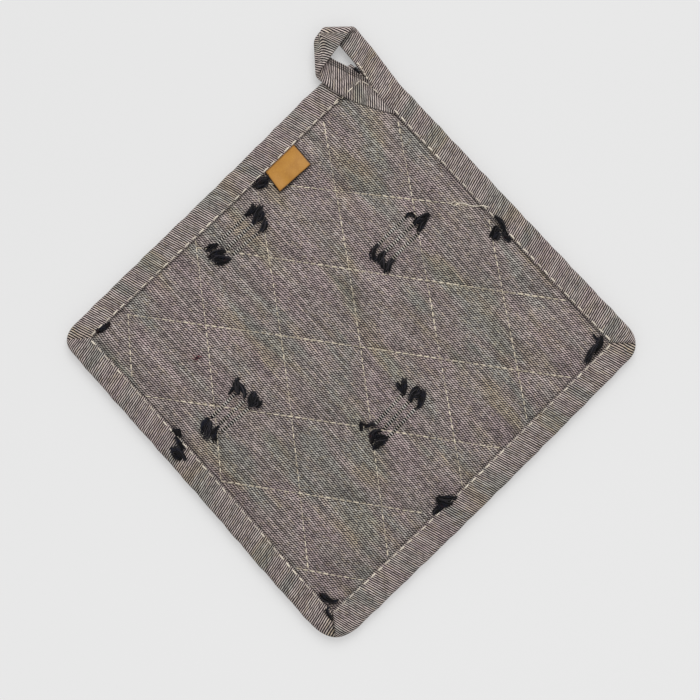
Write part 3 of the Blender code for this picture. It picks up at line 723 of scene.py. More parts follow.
def sew(points):
    """Press the quilting stitches into the front cloth and pucker it beside them."""
    flat = straightened(points[:, :2])
    front = smooth((points[:, 2] - FRONT_FROM) / FRONT_EASE)
    inside = seam_distance(flat)
    ease = smooth(inside / SEAM_EASE)
    drop = np.zeros(len(points))
    for family in ("across", "down"):
        for start, end, normal in quilt_lines(family):
            along = unit(end - start)
            run = (flat - start) @ along
            reach = np.abs((flat - start) @ normal)
            left = np.linalg.norm(end - start) - run
            within = smooth(run / GROOVE_FADE) * smooth(left / GROOVE_FADE)
            pull = 1.0 - GROOVE_PULSE + GROOVE_PULSE * np.cos(2.0 * math.pi * run / QUILT_STITCH)
            drop += STITCH_GROOVE * pull * within * np.exp(-(reach / GROOVE_WIDTH) ** 2)
            crumple = wander(run + 0.4 * reach, PUCKER_LENGTHS[0], start[0])
            crumple = crumple * wander(run, PUCKER_LENGTHS[1], start[1])
            drop += PUCKER * crumple * within * np.exp(-(reach / PUCKER_REACH) ** 2) * smooth(reach)
    for side in SIDE_RING:
        run = side.run(flat)
        reach = side.seam_inset(flat)
        near = np.exp(-np.clip(reach, 0.0, None) / SEAM_EASE)
        gather = wander(run + 0.5 * reach, SEAM_PUCKER_LENGTH, side.length)
        drop += SEAM_PUCKER * near * gather * smooth(reach)
    wave = wander(flat[:, 0] + 0.6 * flat[:, 1], CLOTH_WAVE_LENGTHS[0], 1.7)
    wave = wave * wander(flat[:, 1] - 0.3 * flat[:, 0], CLOTH_WAVE_LENGTHS[1], 0.4)
    drop += CLOTH_WAVE * wave * ease
    moved = points.copy()
    moved[:, 2] -= drop * front
    return moved


def planar_grain(points):
    """Pairs along and across the cloth's ridges."""
    flat = straightened(points[:, :2])
    return np.column_stack((flat @ GRAIN_ALONG, flat @ GRAIN_ACROSS))


def set_grain(piece, pairs):
    """Lay the cloth's grain, one pair for each point, on the piece."""
    layer = piece.data.uv_layers.new(name="grain")
    corner_points = np.empty(len(piece.data.loops), dtype=np.int32)
    piece.data.loops.foreach_get("vertex_index", corner_points)
    layer.data.foreach_set("uv", (pairs[corner_points] * MM).astype(np.float32).ravel())


def mark_points(piece, name, values):
    """Give each point of the piece a number for its finish."""
    layer = piece.data.attributes.new(name, "FLOAT", "POINT")
    layer.data.foreach_set("value", np.asarray(values, dtype=np.float32))


def painted_shade_beside_strip(flat):
    """How strong the painted shade is at each place, in the crease beside the strip."""
    return SHADE_BESIDE_STRIP * np.exp(-(np.clip(seam_distance(flat), 0.0, None) / PAINTED_SHADE_WIDTH) ** 2)


def past_tab_edge(flat):
    """Distance of each place outside the tab's outline, below 0 inside it."""
    corners = np.array(LABEL_CORNERS)
    outside = [(flat - first) @ turned_left(unit(second - first))
               for first, second in zip(corners, np.roll(corners, -1, axis=0))]
    return np.max(outside, axis=0)


def painted_tab_shadow(flat):
    """Painted shadow of the tab: how dark the cloth is under the tab and just past its edge."""
    return np.exp(-(np.clip(past_tab_edge(flat), 0.0, None) / TAB_SHADOW) ** 2)


def swell(pad):
    """Let the front cloth swell and ripple between its stitches, as slightly longer cloth does."""
    before = points_of(pad)
    flat = straightened(before[:, :2])
    free = np.minimum(*quilt_distances(flat)) > HELD_BY_STITCH
    free &= seam_distance(flat) > HELD_BY_SEAM
    free &= np.arange(len(before)) < len(before) // 2
    held = pad.vertex_groups.new(name="held")
    held.add(np.flatnonzero(~free).tolist(), 1.0, "REPLACE")
    cloth = pad.modifiers.new("swell", "CLOTH")
    cloth.settings.vertex_group_mass = "held"
    cloth.settings.use_pressure = True
    cloth.settings.uniform_pressure_force = SWELL_PRESSURE
    cloth.settings.shrink_min = SWELL_GROWTH
    cloth.settings.effector_weights.gravity = 0.0
    cloth.collision_settings.use_collision = False
    cloth.point_cache.frame_end = SWELL_FRAMES
    scene = bpy.context.scene
    first = scene.frame_current
    for number in range(1, SWELL_FRAMES + 1):
        scene.frame_set(number)
    select_only(pad)
    bpy.ops.object.modifier_apply(modifier="swell")
    scene.frame_set(first)
    pad.vertex_groups.clear()
    shift = points_of(pad) - before
    far = np.linalg.norm(shift, axis=1, keepdims=True)
    capped = SWELL_CAP * np.tanh(far / SWELL_CAP) / np.maximum(far, 1e-6)
    move_points(pad, before + shift * capped)


def make_pad():
    """The quilted cloth, front and back, swelled and sewn."""
    points, faces = closed_pad(pad_grid(PAD_CELLS))
    pad = mesh_piece("quilted_pad", points, faces)
    swell(pad)
    apply_modifier(pad, "SUBSURF", levels=1, render_levels=1)
    move_points(pad, sew(points_of(pad)))
    set_grain(pad, planar_grain(points_of(pad)))
    points = points_of(pad)
    flat = points[:, :2]
    # Painted shade: the tab's painted shadow on the front cloth, and painted shade in the crease
    # beside the strip.
    tab_shade = np.where(points[:, 2] > LABEL_SEAM_HEIGHT / 2, painted_tab_shadow(flat), 0.0)
    mark_points(pad, "crease", np.maximum(painted_shade_beside_strip(straightened(flat)), tab_shade))
    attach(pad, "root")
    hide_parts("pad")
    return pad


# ---------------------------------------------------------------- bias strip

def strip_section(width, half, layer, back_share, lip_drop):
    """The folded strip in section, from the front lip round to it: distance in and height."""
    layer = min(layer, half * LAYER_LIMIT)
    lip = layer / 2.0
    roll = ROLL_SHARE * half
    turned = width * back_share

    angle = np.radians(np.linspace(-80.0, 90.0, 5))
    lip_in = width - lip + lip * np.cos(angle)
    lip_up = half - lip_drop - lip + lip * np.sin(angle)
    face_in = np.concatenate((width - lip - np.arange(1, HEM_SAMPLES) * HEM_STEP,
                              np.linspace(width - lip - HEM_SAMPLES * HEM_STEP, roll, 8)))
    face_up = half - lip_drop * np.exp(-(width - lip - face_in) / LIP_REACH)
    angle = np.radians(np.linspace(90.0, 270.0, 15))[1:]
    cosine, sine = np.cos(angle), np.sin(angle)
    roll_in = roll - roll * np.abs(cosine) ** ROLL_POWER
    roll_up = half * np.sign(sine) * np.abs(sine) ** ROLL_POWER
    back_in = np.linspace(roll, turned - lip, 9)[1:]
    back_up = np.full(8, -half)
    angle = np.radians(np.linspace(-90.0, 80.0, 5))[1:]
    turn_in = turned - lip + lip * np.cos(angle)
    turn_up = -half + lip + lip * np.sin(angle)
    under = half - layer
    lining_in = np.linspace(turned - lip, roll + layer, 6)
    lining_up = np.full(6, -under)
    angle = np.radians(np.linspace(270.0, 90.0, 9))[1:-1]
    core_in = roll + layer - (roll - FOLD_GAP) * np.abs(np.cos(angle))
    core_up = under * np.sin(angle)
    ceiling_in = np.linspace(roll + layer, width - lip, 8)
    ceiling_up = under - lip_drop * np.exp(-(width - lip - ceiling_in) / LIP_REACH)
    inset = np.concatenate((lip_in, face_in, roll_in, back_in, turn_in,
                            lining_in, core_in, ceiling_in))
    height = np.concatenate((lip_up, face_up, roll_up, back_up, turn_up,
                             lining_up, core_up, ceiling_up))
    return inset, height


class Across:
    """The strip at one place along it: its two edges and its section there."""

    def __init__(self, outer, inner, mid, facing=(0.0, 0.0, 1.0), half=STRIP_TOP / 2,
                 layer=STRIP_LAYER, back_share=STRIP_BACK_SHARE, **marks):
        self.outer, self.inner = np.asarray(outer), np.asarray(inner)
        self.mid, self.facing = mid, np.asarray(facing)
        self.half, self.layer, self.back_share = half, layer, back_share
        self.mitre = marks.get("mitre", 0.0)
        self.lift = marks.get("lift", 0.0)
        self.sewn = marks.get("sewn", 1.0)
        self.tail = marks.get("tail")
        self.side = marks.get("side")

    def crease(self, inset):
        """Painted shade at each point of the section: in a mitre, or along the tail's turned hem."""
        width = np.linalg.norm(self.inner - self.outer)
        dark = (self.mitre / max(MITRE.values())) ** 2 * smooth(inset / 2.0)
        if self.tail is not None:
            for line in HEM_LINES:
                dark = dark + HEM_SHADE * np.exp(-((width - inset - line) / HEM_WIDTH) ** 2)
        return np.clip(dark, 0.0, 1.0)

    def ring(self, along):
        """Points of the section, how far in each lies, and the way round to it."""
        width = np.linalg.norm(self.inner - self.outer)
        inset, height = strip_section(width, self.half, self.layer, self.back_share,
                                      LIP_DROP * self.sewn)
        round_way = np.concatenate(((0.0,), np.cumsum(np.hypot(np.diff(inset), np.diff(height)))))
        front = smooth(height / self.half)
        near_lip = np.exp(-np.clip(width - inset, 0.0, None) / PULL_REACH)
        pull = self.sewn * (0.5 + 0.5 * math.cos(2.0 * math.pi * along / EDGE_STITCH))
        height = height - STITCH_PULL * pull * near_lip * front
        height += self.lift * smooth((inset - LIFT_FROM * width) / (LIFT_RUN * width)) * front
        height -= self.mitre * front * smooth((inset - 0.5) / 2.0)
        drag = wander(along + 0.8 * inset, DRAG_LENGTHS[0], 2.0)
        drag = drag * wander(along - 0.5 * inset, DRAG_LENGTHS[1], 5.0)
        height += DRAG_LINES * drag * front * smooth(inset / 3.0) * self.sewn
        edge = EDGE_WAVE * wander(along, EDGE_WAVE_LENGTH, 0.7)
        edge = edge + LIP_WAVE * wander(along, LIP_WAVE_LENGTH, 3.1) * near_lip
        inset = inset + edge * self.sewn
        across = (self.inner - self.outer) / width
        if self.tail is not None:
            height -= HEM_DEPTH * self.crease(inset) * front
        places = self.outer + inset[:, None] * across
        mid, thickness = np.full(len(inset), float(self.mid)), np.ones(len(inset))
        if self.tail is None:
            if self.sewn:
                places = places + drift(places)
        else:
            mid, cloth = tail_level(places, self.mid)
            thickness = cloth / LOOP_CLOTH
        points = np.column_stack((places, mid))
        return points + np.outer(height * thickness, self.facing), inset, round_way


def tail_level(places, mid):
    """Middle height and thickness of the tail: over the strip, then down on the pad."""
    inside = SIDES["top_left"].inset(places)
    climb = smooth((inside - TAIL_CLIMB_FROM) / TAIL_CLIMB_RUN)
    settle = smooth((inside - TAIL_SETTLE_FROM) / TAIL_SETTLE_RUN)
    cloth = LOOP_CLOTH + (TAIL_CLOTH - LOOP_CLOTH) * settle
    under = mid - LOOP_CLOTH / 2
    under = under + (TAIL_OVER_STRIP - under) * climb
    on_pad = pad_front(straightened(places)) + TAIL_OVER_PAD
    under = under + (on_pad - under) * settle
    return under + cloth / 2, cloth


def flare(run):
    """How far the strip leans out near the top corner."""
    return FLARE * max(1.0 - run / FLARE_RUN, 0.0) ** FLARE_POWER


def draw_in(share):
    """How far the last of the strip draws in below the loop."""
    return DRAW_IN * max((share - DRAW_IN_FROM) / (1.0 - DRAW_IN_FROM), 0.0) ** 2


def loop_root():
    """Where the strip leaves the pad's corner: the ends of a line square across it."""
    along = unit(np.array(LOOP_ALONG))
    outer = np.array(LOOP_APEX) - along * LOOP_ROOT_RUN
    return outer, outer + turned_left(along) * LOOP_WIDTH


def closing(beyond_root):
    """How far the strip's two flaps have closed together, from the binding to the loop."""
    share = (beyond_root + ROOT_CLOSE_BEFORE) / (LOOP_ROOT_CLOSE + ROOT_CLOSE_BEFORE)
    share = float(smooth(share))
    return {"half": STRIP_TOP / 2 + (LOOP_CLOTH / 2 - STRIP_TOP / 2) * share,
            "layer": STRIP_LAYER + (LOOP_LAYER - STRIP_LAYER) * share,
            "back_share": STRIP_BACK_SHARE + (LOOP_BACK_SHARE - STRIP_BACK_SHARE) * share}


def side_crossings(side, before, after):
    """Crossings along one side of the square, between its corners."""
    run_start, run_end = TOP_RIGHT_START, TOP_LEFT_END
    seam_start = side.at(TOP_RIGHT_START, side.width_start)
    seam_end = side.at(TOP_LEFT_END, side.width_end)
    if before:
        run_start = STRIP_ROUNDING[side.start_name]
        seam_start = seam_corner(before, side) + side.seam_along * SEAM_ROUNDING
    if after:
        run_end = side.length - STRIP_ROUNDING[side.end_name]
        seam_end = seam_corner(side, after) - side.seam_along * SEAM_ROUNDING
    steps = round((run_end - run_start) / STATION_STEP)
    crossings = []
    for step in range(steps + 1):
        share = step / steps
        run = run_start + (run_end - run_start) * share
        outer = side.at(run, 0.0)
        seam = seam_start + (seam_end - seam_start) * share
        shape = {}
        if not before:
            outer = outer - side.inward * flare(run)
            seam = seam - side.inward * flare(run)
            risen = smooth((run - TAIL_LIFT_FROM) / TAIL_LIFT_EASE[0])
            shape["lift"] = TAIL_LIFT * float(risen * smooth((TAIL_LIFT_TO - run) / TAIL_LIFT_EASE[1]))
            shape.update(closing(-(run - TOP_RIGHT_START) - 1.0))
        if not after:
            outer = outer + side.inward * draw_in(run / side.length)
        crossings.append(Across(outer, seam, STRIP_TOP / 2, side=side, **shape))
    return crossings


def corner_crossings(before, after, last, first):
    """Crossings that fan round a corner, with a mitre crease in the middle."""
    name = after.start_name
    corner, seam_point = np.array(CORNERS[name]), seam_corner(before, after)
    crossings = []
    for step in range(1, CORNER_STEPS + 1):
        share = step / (CORNER_STEPS + 1)
        outer = curve_between(last.outer, corner, first.outer, share)
        seam = curve_between(last.inner, seam_point, first.inner, share)
        away = (share - 0.5) * 2.0 * STRIP_ROUNDING[name]
        crease = MITRE[name] * math.exp(-(away / MITRE_WIDTH) ** 2)
        crossings.append(Across(outer, seam, STRIP_TOP / 2, mitre=crease,
                                side=before if share < 0.5 else after))
    return crossings


def edge_crossings():
    """The strip round the square, from the top corner back to it."""
    runs = [side_crossings(side, before, after) for before, side, after in
            zip([None] + SIDE_RING, SIDE_RING, SIDE_RING[1:] + [None])]
    crossings = list(runs[0])
    for before, after, run in zip(SIDE_RING, SIDE_RING[1:], runs[1:]):
        crossings += corner_crossings(before, after, crossings[-1], run[0])
        crossings += run
    return crossings


def fold_crossings(outer, inner, along, beyond, radius, height, turn):
    """Crossings round a fold, whose crease is the line through the first two points."""
    crease = unit(inner - outer)
    slide = (along @ crease) / (along @ beyond)
    crossings = []
    for step in range(FOLD_STEPS + 1):
        angle = math.pi * step / FOLD_STEPS
        shift = crease * slide * radius * angle + beyond * radius * math.sin(angle)
        facing = (-beyond[0] * math.sin(angle), -beyond[1] * math.sin(angle),
                  turn * math.cos(angle))
        rise = turn * radius * (1.0 - math.cos(angle))
        crossings.append(Across(outer + shift, inner + shift, height + rise, facing,
                                sewn=0.0, **closing(LOOP_ROOT_CLOSE)))
    return crossings


def mirrored(direction, normal):
    return direction - normal * (2.0 * (direction @ normal))


def rising_leg(root_outer, root_inner, end_outer, end_inner):
    """From the corner to the top fold."""
    crossings = []
    for step in range(LEG_STEPS):
        share = step / LEG_STEPS
        outer = root_outer + (end_outer - root_outer) * share
        inner = root_inner + (end_inner - root_inner) * share
        middle = STRIP_TOP / 2 + (LOOP_REST_HEIGHT - STRIP_TOP / 2) * float(smooth(share))
        crossings.append(Across(outer, inner, middle, sewn=0.0,
                                **closing(np.linalg.norm(outer - root_outer))))
    return crossings


def tail_crossings(outer, inner, height):
    """The tail: it fans out over the corner and is tucked under the right hand strip."""
    side = SIDES["top_right"]
    ends = [side.at(run, side.width_start - flare(run) - TAIL_TUCK)
            for run in (TAIL_END_HIGH, TAIL_END_LOW)]
    end_inner, end_outer = (end + drift(end) for end in ends)
    crossings = []
    for step in range(1, TAIL_STEPS + 1):
        share = step / TAIL_STEPS
        low = curve_between(outer, np.array(TAIL_BEND), end_outer, share)
        high = inner + (end_inner - inner) * share
        crossings.append(Across(low, high, height, sewn=0.0, tail=share,
                                **closing(LOOP_ROOT_CLOSE)))
    return crossings


def loop_crossings():
    """Every crossing of the loop, from the corner to the tail's end."""
    root_outer, root_inner = loop_root()
    along, beyond = unit(np.array(LOOP_ALONG)), unit(np.array(TOP_FOLD_BEYOND))
    crease = turned_left(beyond)
    fold_at = np.array(LOOP_APEX) - beyond * (TOP_FOLD_RADIUS + LOOP_CLOTH / 2)
    fold_outer = meeting_point(root_outer, along, fold_at, crease)
    fold_inner = meeting_point(root_inner, along, fold_at, crease)
    crossings = rising_leg(root_outer, root_inner, fold_outer, fold_inner)
    crossings += fold_crossings(fold_outer, fold_inner, along, beyond,
                                TOP_FOLD_RADIUS, LOOP_REST_HEIGHT, 1)
    back = mirrored(along, beyond)
    last = crossings[-1]
    beyond = unit(np.array(SIDE_FOLD_BEYOND))
    side_at = np.array(SIDE_FOLD_AT) - beyond * (SIDE_FOLD_RADIUS + LOOP_CLOTH / 2)
    turn_outer = meeting_point(last.outer, back, side_at, turned_left(beyond))
    turn_inner = meeting_point(last.inner, back, side_at, turned_left(beyond))
    for step in range(1, BETWEEN_FOLDS):
        share = step / BETWEEN_FOLDS
        crossings.append(Across(last.outer + (turn_outer - last.outer) * share,
                                last.inner + (turn_inner - last.inner) * share,
                                last.mid, last.facing, sewn=0.0, **closing(LOOP_ROOT_CLOSE)))
    side_fold = fold_crossings(turn_outer, turn_inner, back, beyond,
                               SIDE_FOLD_RADIUS, last.mid, -1)
    for index, crossing in enumerate(side_fold):
        pinch = SIDE_FOLD_PINCH * float(smooth(index / FOLD_STEPS))
        crossing.inner = crossing.inner + unit(crossing.outer - crossing.inner) * pinch
    crossings += side_fold
    last = crossings[-1]
    return crossings + tail_crossings(last.outer, last.inner, last.mid)


def edge_lengths(crossings, root):
    """How far along its own two edges the strip has come at each crossing, from the root."""
    lengths = []
    for edge in ("outer", "inner"):
        points = np.array([np.append(getattr(crossing, edge), crossing.mid)
                           for crossing in crossings])
        steps = np.linalg.norm(np.diff(points, axis=0), axis=1)
        run = np.concatenate(((0.0,), np.cumsum(steps)))
        lengths.append(run - run[root])
    return np.array(lengths).T


def stripe_marks(crossing, points, inset, round_way, edges):
    """Where each point of a crossing lies along the strip's stripes."""
    if crossing.side is not None:
        return crossing.side.run(points[:, :2]) - ROOT_RUN
    share = inset / np.linalg.norm(crossing.inner - crossing.outer)
    along = edges[0] + (edges[1] - edges[0]) * share
    if crossing.tail is None:
        return along
    upright = TAIL_GRAIN_START - points[:, 0] - STRIP_SLANT * round_way
    return along + (upright - along) * float(smooth(crossing.tail / TAIL_GRAIN_TURN))


def make_strip():
    """One continuous strip: the tail, the loop, then round the square to the top corner."""
    loop = loop_crossings()[::-1]
    crossings = loop + edge_crossings()
    lengths = edge_lengths(crossings, len(loop))
    rings, near, far, dark = [], [], [], []
    for crossing, following, edges in zip(crossings, crossings[1:] + crossings[-1:], lengths):
        points, inset, round_way = crossing.ring(edges.mean())
        rings.append(points)
        dark.append(crossing.crease(inset))
        marks = stripe_marks(crossing, points, inset, round_way, edges)
        far.append(np.column_stack((marks, round_way)))
        if following.side is not crossing.side and crossing.side is not None:
            marks = stripe_marks(following, points, inset, round_way, edges)
        near.append(np.column_stack((marks, round_way)))
    rings, near, far = np.array(rings), np.array(near), np.array(far)
    count, around = rings.shape[:2]
    faces = grid_faces(count, around, closed=True)[:, ::-1]
    is_far = faces // around == (np.arange(len(faces)) // around + 1)[:, None]
    grain = np.where(is_far[..., None], far.reshape(-1, 2)[faces], near.reshape(-1, 2)[faces])
    caps = [list(range(around)), list(range(count * around - 1, (count - 1) * around - 1, -1))]
    strip = mesh_piece("binding_strip", rings.reshape(-1, 3), faces.tolist() + caps)
    corners = np.concatenate((grain.reshape(-1, 2), near.reshape(-1, 2)[caps[0]],
                              near.reshape(-1, 2)[caps[1]]))
    layer = strip.data.uv_layers.new(name="grain")
    layer.data.foreach_set("uv", (corners * MM).astype(np.float32).ravel())
    # The crease marks carry painted shade for the mitres and the tail's hem lines.
    mark_points(strip, "crease", np.concatenate(dark))
    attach(strip, "root")
    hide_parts("binding", "hanging_loop")
    return strip


# ---------------------------------------------------------------- tan tab

def make_label():
    """A thin leather tab caught under the strip's lip, its free end standing off the cloth."""
    bpy.ops.object.select_all(action="DESELECT")
    bpy.ops.mesh.primitive_grid_add(x_subdivisions=20, y_subdivisions=14, size=1.0)
    tab = bpy.context.active_object
    tab.name = tab.data.name = "tan_tab"
    points = points_of(tab) * MM + (0.5, 0.5, 0.0)
    seam_left, seam_right, free_right, free_left = (np.array(corner) for corner in LABEL_CORNERS)
    across, down = points[:, :1], 1.0 - points[:, 1:2]
    seam = seam_left + (seam_right - seam_left) * across
    free = free_left + (free_right - free_left) * across
    places = seam + (free - seam) * down
    rise = (1.0 - (1.0 - down) ** 2) * (LABEL_FREE_HEIGHT - LABEL_SEAM_HEIGHT)
    bow = LABEL_BOW * np.sin(math.pi * across) * down
    curl = LABEL_CURL * wander(places[:, :1] + places[:, 1:2], LABEL_CURL_LENGTH, 0.9) * down
    height = LABEL_SEAM_HEIGHT + rise + bow + curl
    move_points(tab, np.column_stack((places, height)))
    apply_modifier(tab, "SOLIDIFY", thickness=LABEL_CLOTH * MM, offset=1.0)
    apply_modifier(tab, "BEVEL", width=LABEL_ROUNDING * MM, segments=3, limit_method="ANGLE",
                   angle_limit=math.radians(50.0))
    tab.data.shade_smooth()
    plan = points_of(tab)[:, :2]
    set_grain(tab, plan)
    mark_points(tab, "rim", np.clip(1.0 + past_tab_edge(plan) / LABEL_RIM, 0.0, 1.0))
    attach(tab, "root")
    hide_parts("label")
    return tab


# ---------------------------------------------------------------- surfaces to sew on

class Surface:
    """The finished cloth, for finding its height under a place."""

    def __init__(self, *pieces):
        points, faces = [], []
        for piece in pieces:
            faces += [[index + len(points) for index in face.vertices]
                      for face in piece.data.polygons]
            points += [vertex.co / MM for vertex in piece.data.vertices]
        self.tree = BVHTree.FromPolygons(points, faces)

    def height(self, place, side=1.0):
        """Height of the outside of the cloth, on the front (1) or the back (-1)."""
        start = Vector((place[0], place[1], CLEAR_OF_CLOTH * side))
        hit = self.tree.ray_cast(start, Vector((0, 0, -side)))
        return STRIP_TOP if hit[0] is None else hit[0].z

    def on(self, place, side=1.0, lift=0.0):
        return np.array((place[0], place[1], self.height(place, side) + side * lift))


# ---------------------------------------------------------------- stitches

def stitch_shape():
    """One stitch of thread a unit long: a low arch whose ends go down into the cloth."""
    bpy.ops.object.select_all(action="DESELECT")
    bpy.ops.mesh.primitive_cylinder_add(vertices=6, radius=0.5, depth=1.0, end_fill_type="TRIFAN",
                                        rotation=(0.0, math.pi / 2, 0.0))
    stitch = bpy.context.active_object
    bpy.ops.object.transform_apply(location=True, rotation=True, scale=True)
    bpy.ops.object.mode_set(mode="EDIT")
    for cut in STITCH_CUTS:
        bpy.ops.mesh.select_all(action="SELECT")
        bpy.ops.mesh.bisect(plane_co=(cut, 0.0, 0.0), plane_no=(1.0, 0.0, 0.0))
    bpy.ops.object.mode_set(mode="OBJECT")
    points = points_of(stitch) * MM
    faces = [list(face.vertices) for face in stitch.data.polygons]
    bpy.data.objects.remove(stitch)
    return points, faces


STITCH_POINTS, STITCH_FACES = stitch_shape()


def sewn_piece(name, ends, thickness, arch):
    """Joined copies of the stitch between pairs of places, with the thread's twist as its grain."""
    points, faces, grain = [], [], []
    for number, (start, end, up) in enumerate(ends):
        along = end - start
        length = np.linalg.norm(along)
        along = along / length
        across = unit(np.cross(up, along))
        over = np.cross(along, across)
        share = STITCH_POINTS[:, 0] * 2.0
        slack = 1.0 + THREAD_UNEVEN * math.sin(number * 12.9898)
        thin = thickness * slack * (1.0 - STITCH_TAPER * np.abs(share) ** 3)
        rise = arch * (1.0 - share ** 2) - SINK * np.abs(share) ** 4
        local = (start + end) / 2 + np.outer(STITCH_POINTS[:, 0] * length, along)
        local = local + np.outer(STITCH_POINTS[:, 1] * thin, across)
        local = local + np.outer(STITCH_POINTS[:, 2] * thin + rise, over)
        faces += [[index + len(STITCH_POINTS) * number for index in face] for face in STITCH_FACES]
        points.append(local)
        grain.append(np.column_stack((STITCH_POINTS[:, 0] * length + number * STITCH_MARK,
                                      STITCH_POINTS[:, 1] * thickness)))
    piece = mesh_piece(name, np.concatenate(points), faces)
    set_grain(piece, np.concatenate(grain))
    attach(piece, "root")
    return piece


def stitch_ends(surface, route, pitch, gap, side, lift, rng):
    """Ends of the stitches along a route of places, each lying on the cloth."""
    route = np.asarray(route)
    steps = np.linalg.norm(np.diff(route, axis=0), axis=1)
    run = np.concatenate(((0.0,), np.cumsum(steps)))
    count = max(round(run[-1] / pitch), 1)
    ends = []
    for number in range(count):
        marks = np.array((number + gap / 2, number + 1 - gap / 2)) * run[-1] / count
        marks += [rng.uniform(-ENDS_UNEVEN, ENDS_UNEVEN) * pitch * gap for _ in range(2)]
        first, last = (np.array([np.interp(mark, run, route[:, axis]) for axis in range(2)])
                       for mark in marks)
        sway = turned_left(unit(last - first)) * rng.uniform(-SWAY, SWAY)
        start = surface.on(first + sway, side, lift)
        end = surface.on(last - sway * 0.6, side, lift)
        ends.append((start, end, np.array((0.0, 0.0, side))))
    return ends


def drifted_line(start, end):
    share = np.linspace(0.0, 1.0, 40)[:, None]
    line = start + (end - start) * share
    return line + drift(line)


def quilting_routes():
    return [drifted_line(start, end) for family in ("across", "down")
            for start, end, _ in quilt_lines(family)]


def edge_routes():
    """Where the strip is stitched down, one line for each side of the square."""
    routes = []
    for before, side, after in zip([None] + SIDE_RING, SIDE_RING, SIDE_RING[1:] + [None]):
        start = side.at(EDGE_ROUTE_START, side.width_start)
        end = side.at(EDGE_ROUTE_END, side.width_end)
        if before is not None:
            start = seam_corner(before, side)
        if after is not None:
            end = seam_corner(side, after)
        share = np.linspace(0.0, 1.0, 60)[:, None]
        line = start + (end - start) * share
        if before is None:
            lean = np.array([flare(run) for run in side.run(line)])
            line = line - side.inward * lean[:, None]
        line = line - side.inward * EDGE_STITCH_INSET
        routes.append(line + drift(line))
    return routes


def on_the_pad(ends):
    """The stitches that lie clear of the strip."""
    return [pair for pair in ends
            if seam_distance(straightened(np.array((pair[0][:2], pair[1][:2])))).min() > SEAM_CLEAR]


def make_stitches(surface, under_tab):
    """The quilting, front and back, and the stitches that hold the strip, front and back."""
    rng = random.Random(41)
    ends, backs = [], []
    for route in quilting_routes():
        ends += on_the_pad(stitch_ends(under_tab, route, QUILT_STITCH, QUILT_GAP,
                                       1.0, QUILT_LIFT, rng))
        backs += on_the_pad(stitch_ends(surface, route, QUILT_STITCH, QUILT_GAP,
                                        -1.0, BACK_LIFT, rng))
    quilting = [sewn_piece("quilting_stitches", ends, THREAD, QUILT_ARCH),
                sewn_piece("quilting_stitches_back", backs, BACK_THREAD, BACK_ARCH)]
    ends, backs = [], []
    for route in edge_routes() + [np.array(TAIL_STITCHES), np.array(BAR_STITCHES)]:
        ends += stitch_ends(surface, route, EDGE_STITCH, EDGE_GAP, 1.0, EDGE_LIFT, rng)
    ends += stitch_ends(surface, LEG_STITCHES, LEG_STITCH, LEG_GAP, 1.0, LEG_LIFT, rng)
    for route in edge_routes():
        backs += stitch_ends(surface, route, EDGE_STITCH, BACK_GAP, -1.0, BACK_LIFT, rng)
    edging = [sewn_piece("edge_stitches", ends, EDGE_THREAD, EDGE_ARCH),
              sewn_piece("edge_stitches_back", backs, BACK_THREAD, BACK_ARCH)]
    return quilting, edging


def make_thread_end(surface):
    """The loose end of a quilting thread: a small loop, and its tail laid on to the seam."""
    turn = np.linspace(-0.4, 2.0 * math.pi + 0.3, THREAD_LOOP_STEPS)
    loop = np.column_stack((np.cos(turn), np.sin(turn))) * THREAD_LOOP_SIZE + THREAD_LOOP_AT
    share = np.linspace(0.0, 1.0, THREAD_LOOP_STEPS)[1:, None]
    end = np.array(THREAD_END_AT)
    tail = loop[-1] + (end - loop[-1]) * share
    tail[:, 1] += THREAD_END_WAVE * np.sin(math.pi * share[:, 0] * 3.0)
    route = np.concatenate((loop, tail))
    lift = THREAD_END_LIFT + THREAD_END_BOB * np.sin(np.linspace(0.0, 9.0, len(route)))
    path = np.array([surface.on(place, 1.0, up) for place, up in zip(route, lift)])
    points, faces = tubes([path], [np.full(len(path), THREAD_LOOP_THICK)], 6)
    piece = mesh_piece("thread_end", points, faces)
    set_grain(piece, points[:, :2])
    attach(piece, "root")
    return piece


def make_ticks(surface):
    """Rows where the black yarn floats show between the cloth's ridges."""
    rng = random.Random(17)
    dark, light = [], []
    up = np.array((0.0, 0.0, 1.0))
    for row in named_rows(FLOAT_COLUMNS, FLOAT_ROWS):
        start = np.array((row["start_x"], row["start_y"]))
        end = np.array((row["end_x"], row["end_y"]))
        count = round(np.linalg.norm(end - start) / TICK_PITCH)
        for number in range(count * 2 + 1):
            place = start + (end - start) * (number / (count * 2))
            half = GRAIN_ALONG * (TICK_LENGTH / 2 + rng.uniform(-TICK_UNEVEN, TICK_UNEVEN))
            pair = (surface.on(place - half, 1.0, TICK_LIFT),
                    surface.on(place + half, 1.0, TICK_LIFT), up)
            (light if number % 2 else dark).append(pair)
    black = sewn_piece("yarn_floats", dark, **DARK_TICK)
    cream = sewn_piece("yarn_float_gaps", light, **PALE_TICK)
    return black, cream


# ---------------------------------------------------------------- clipped yarn

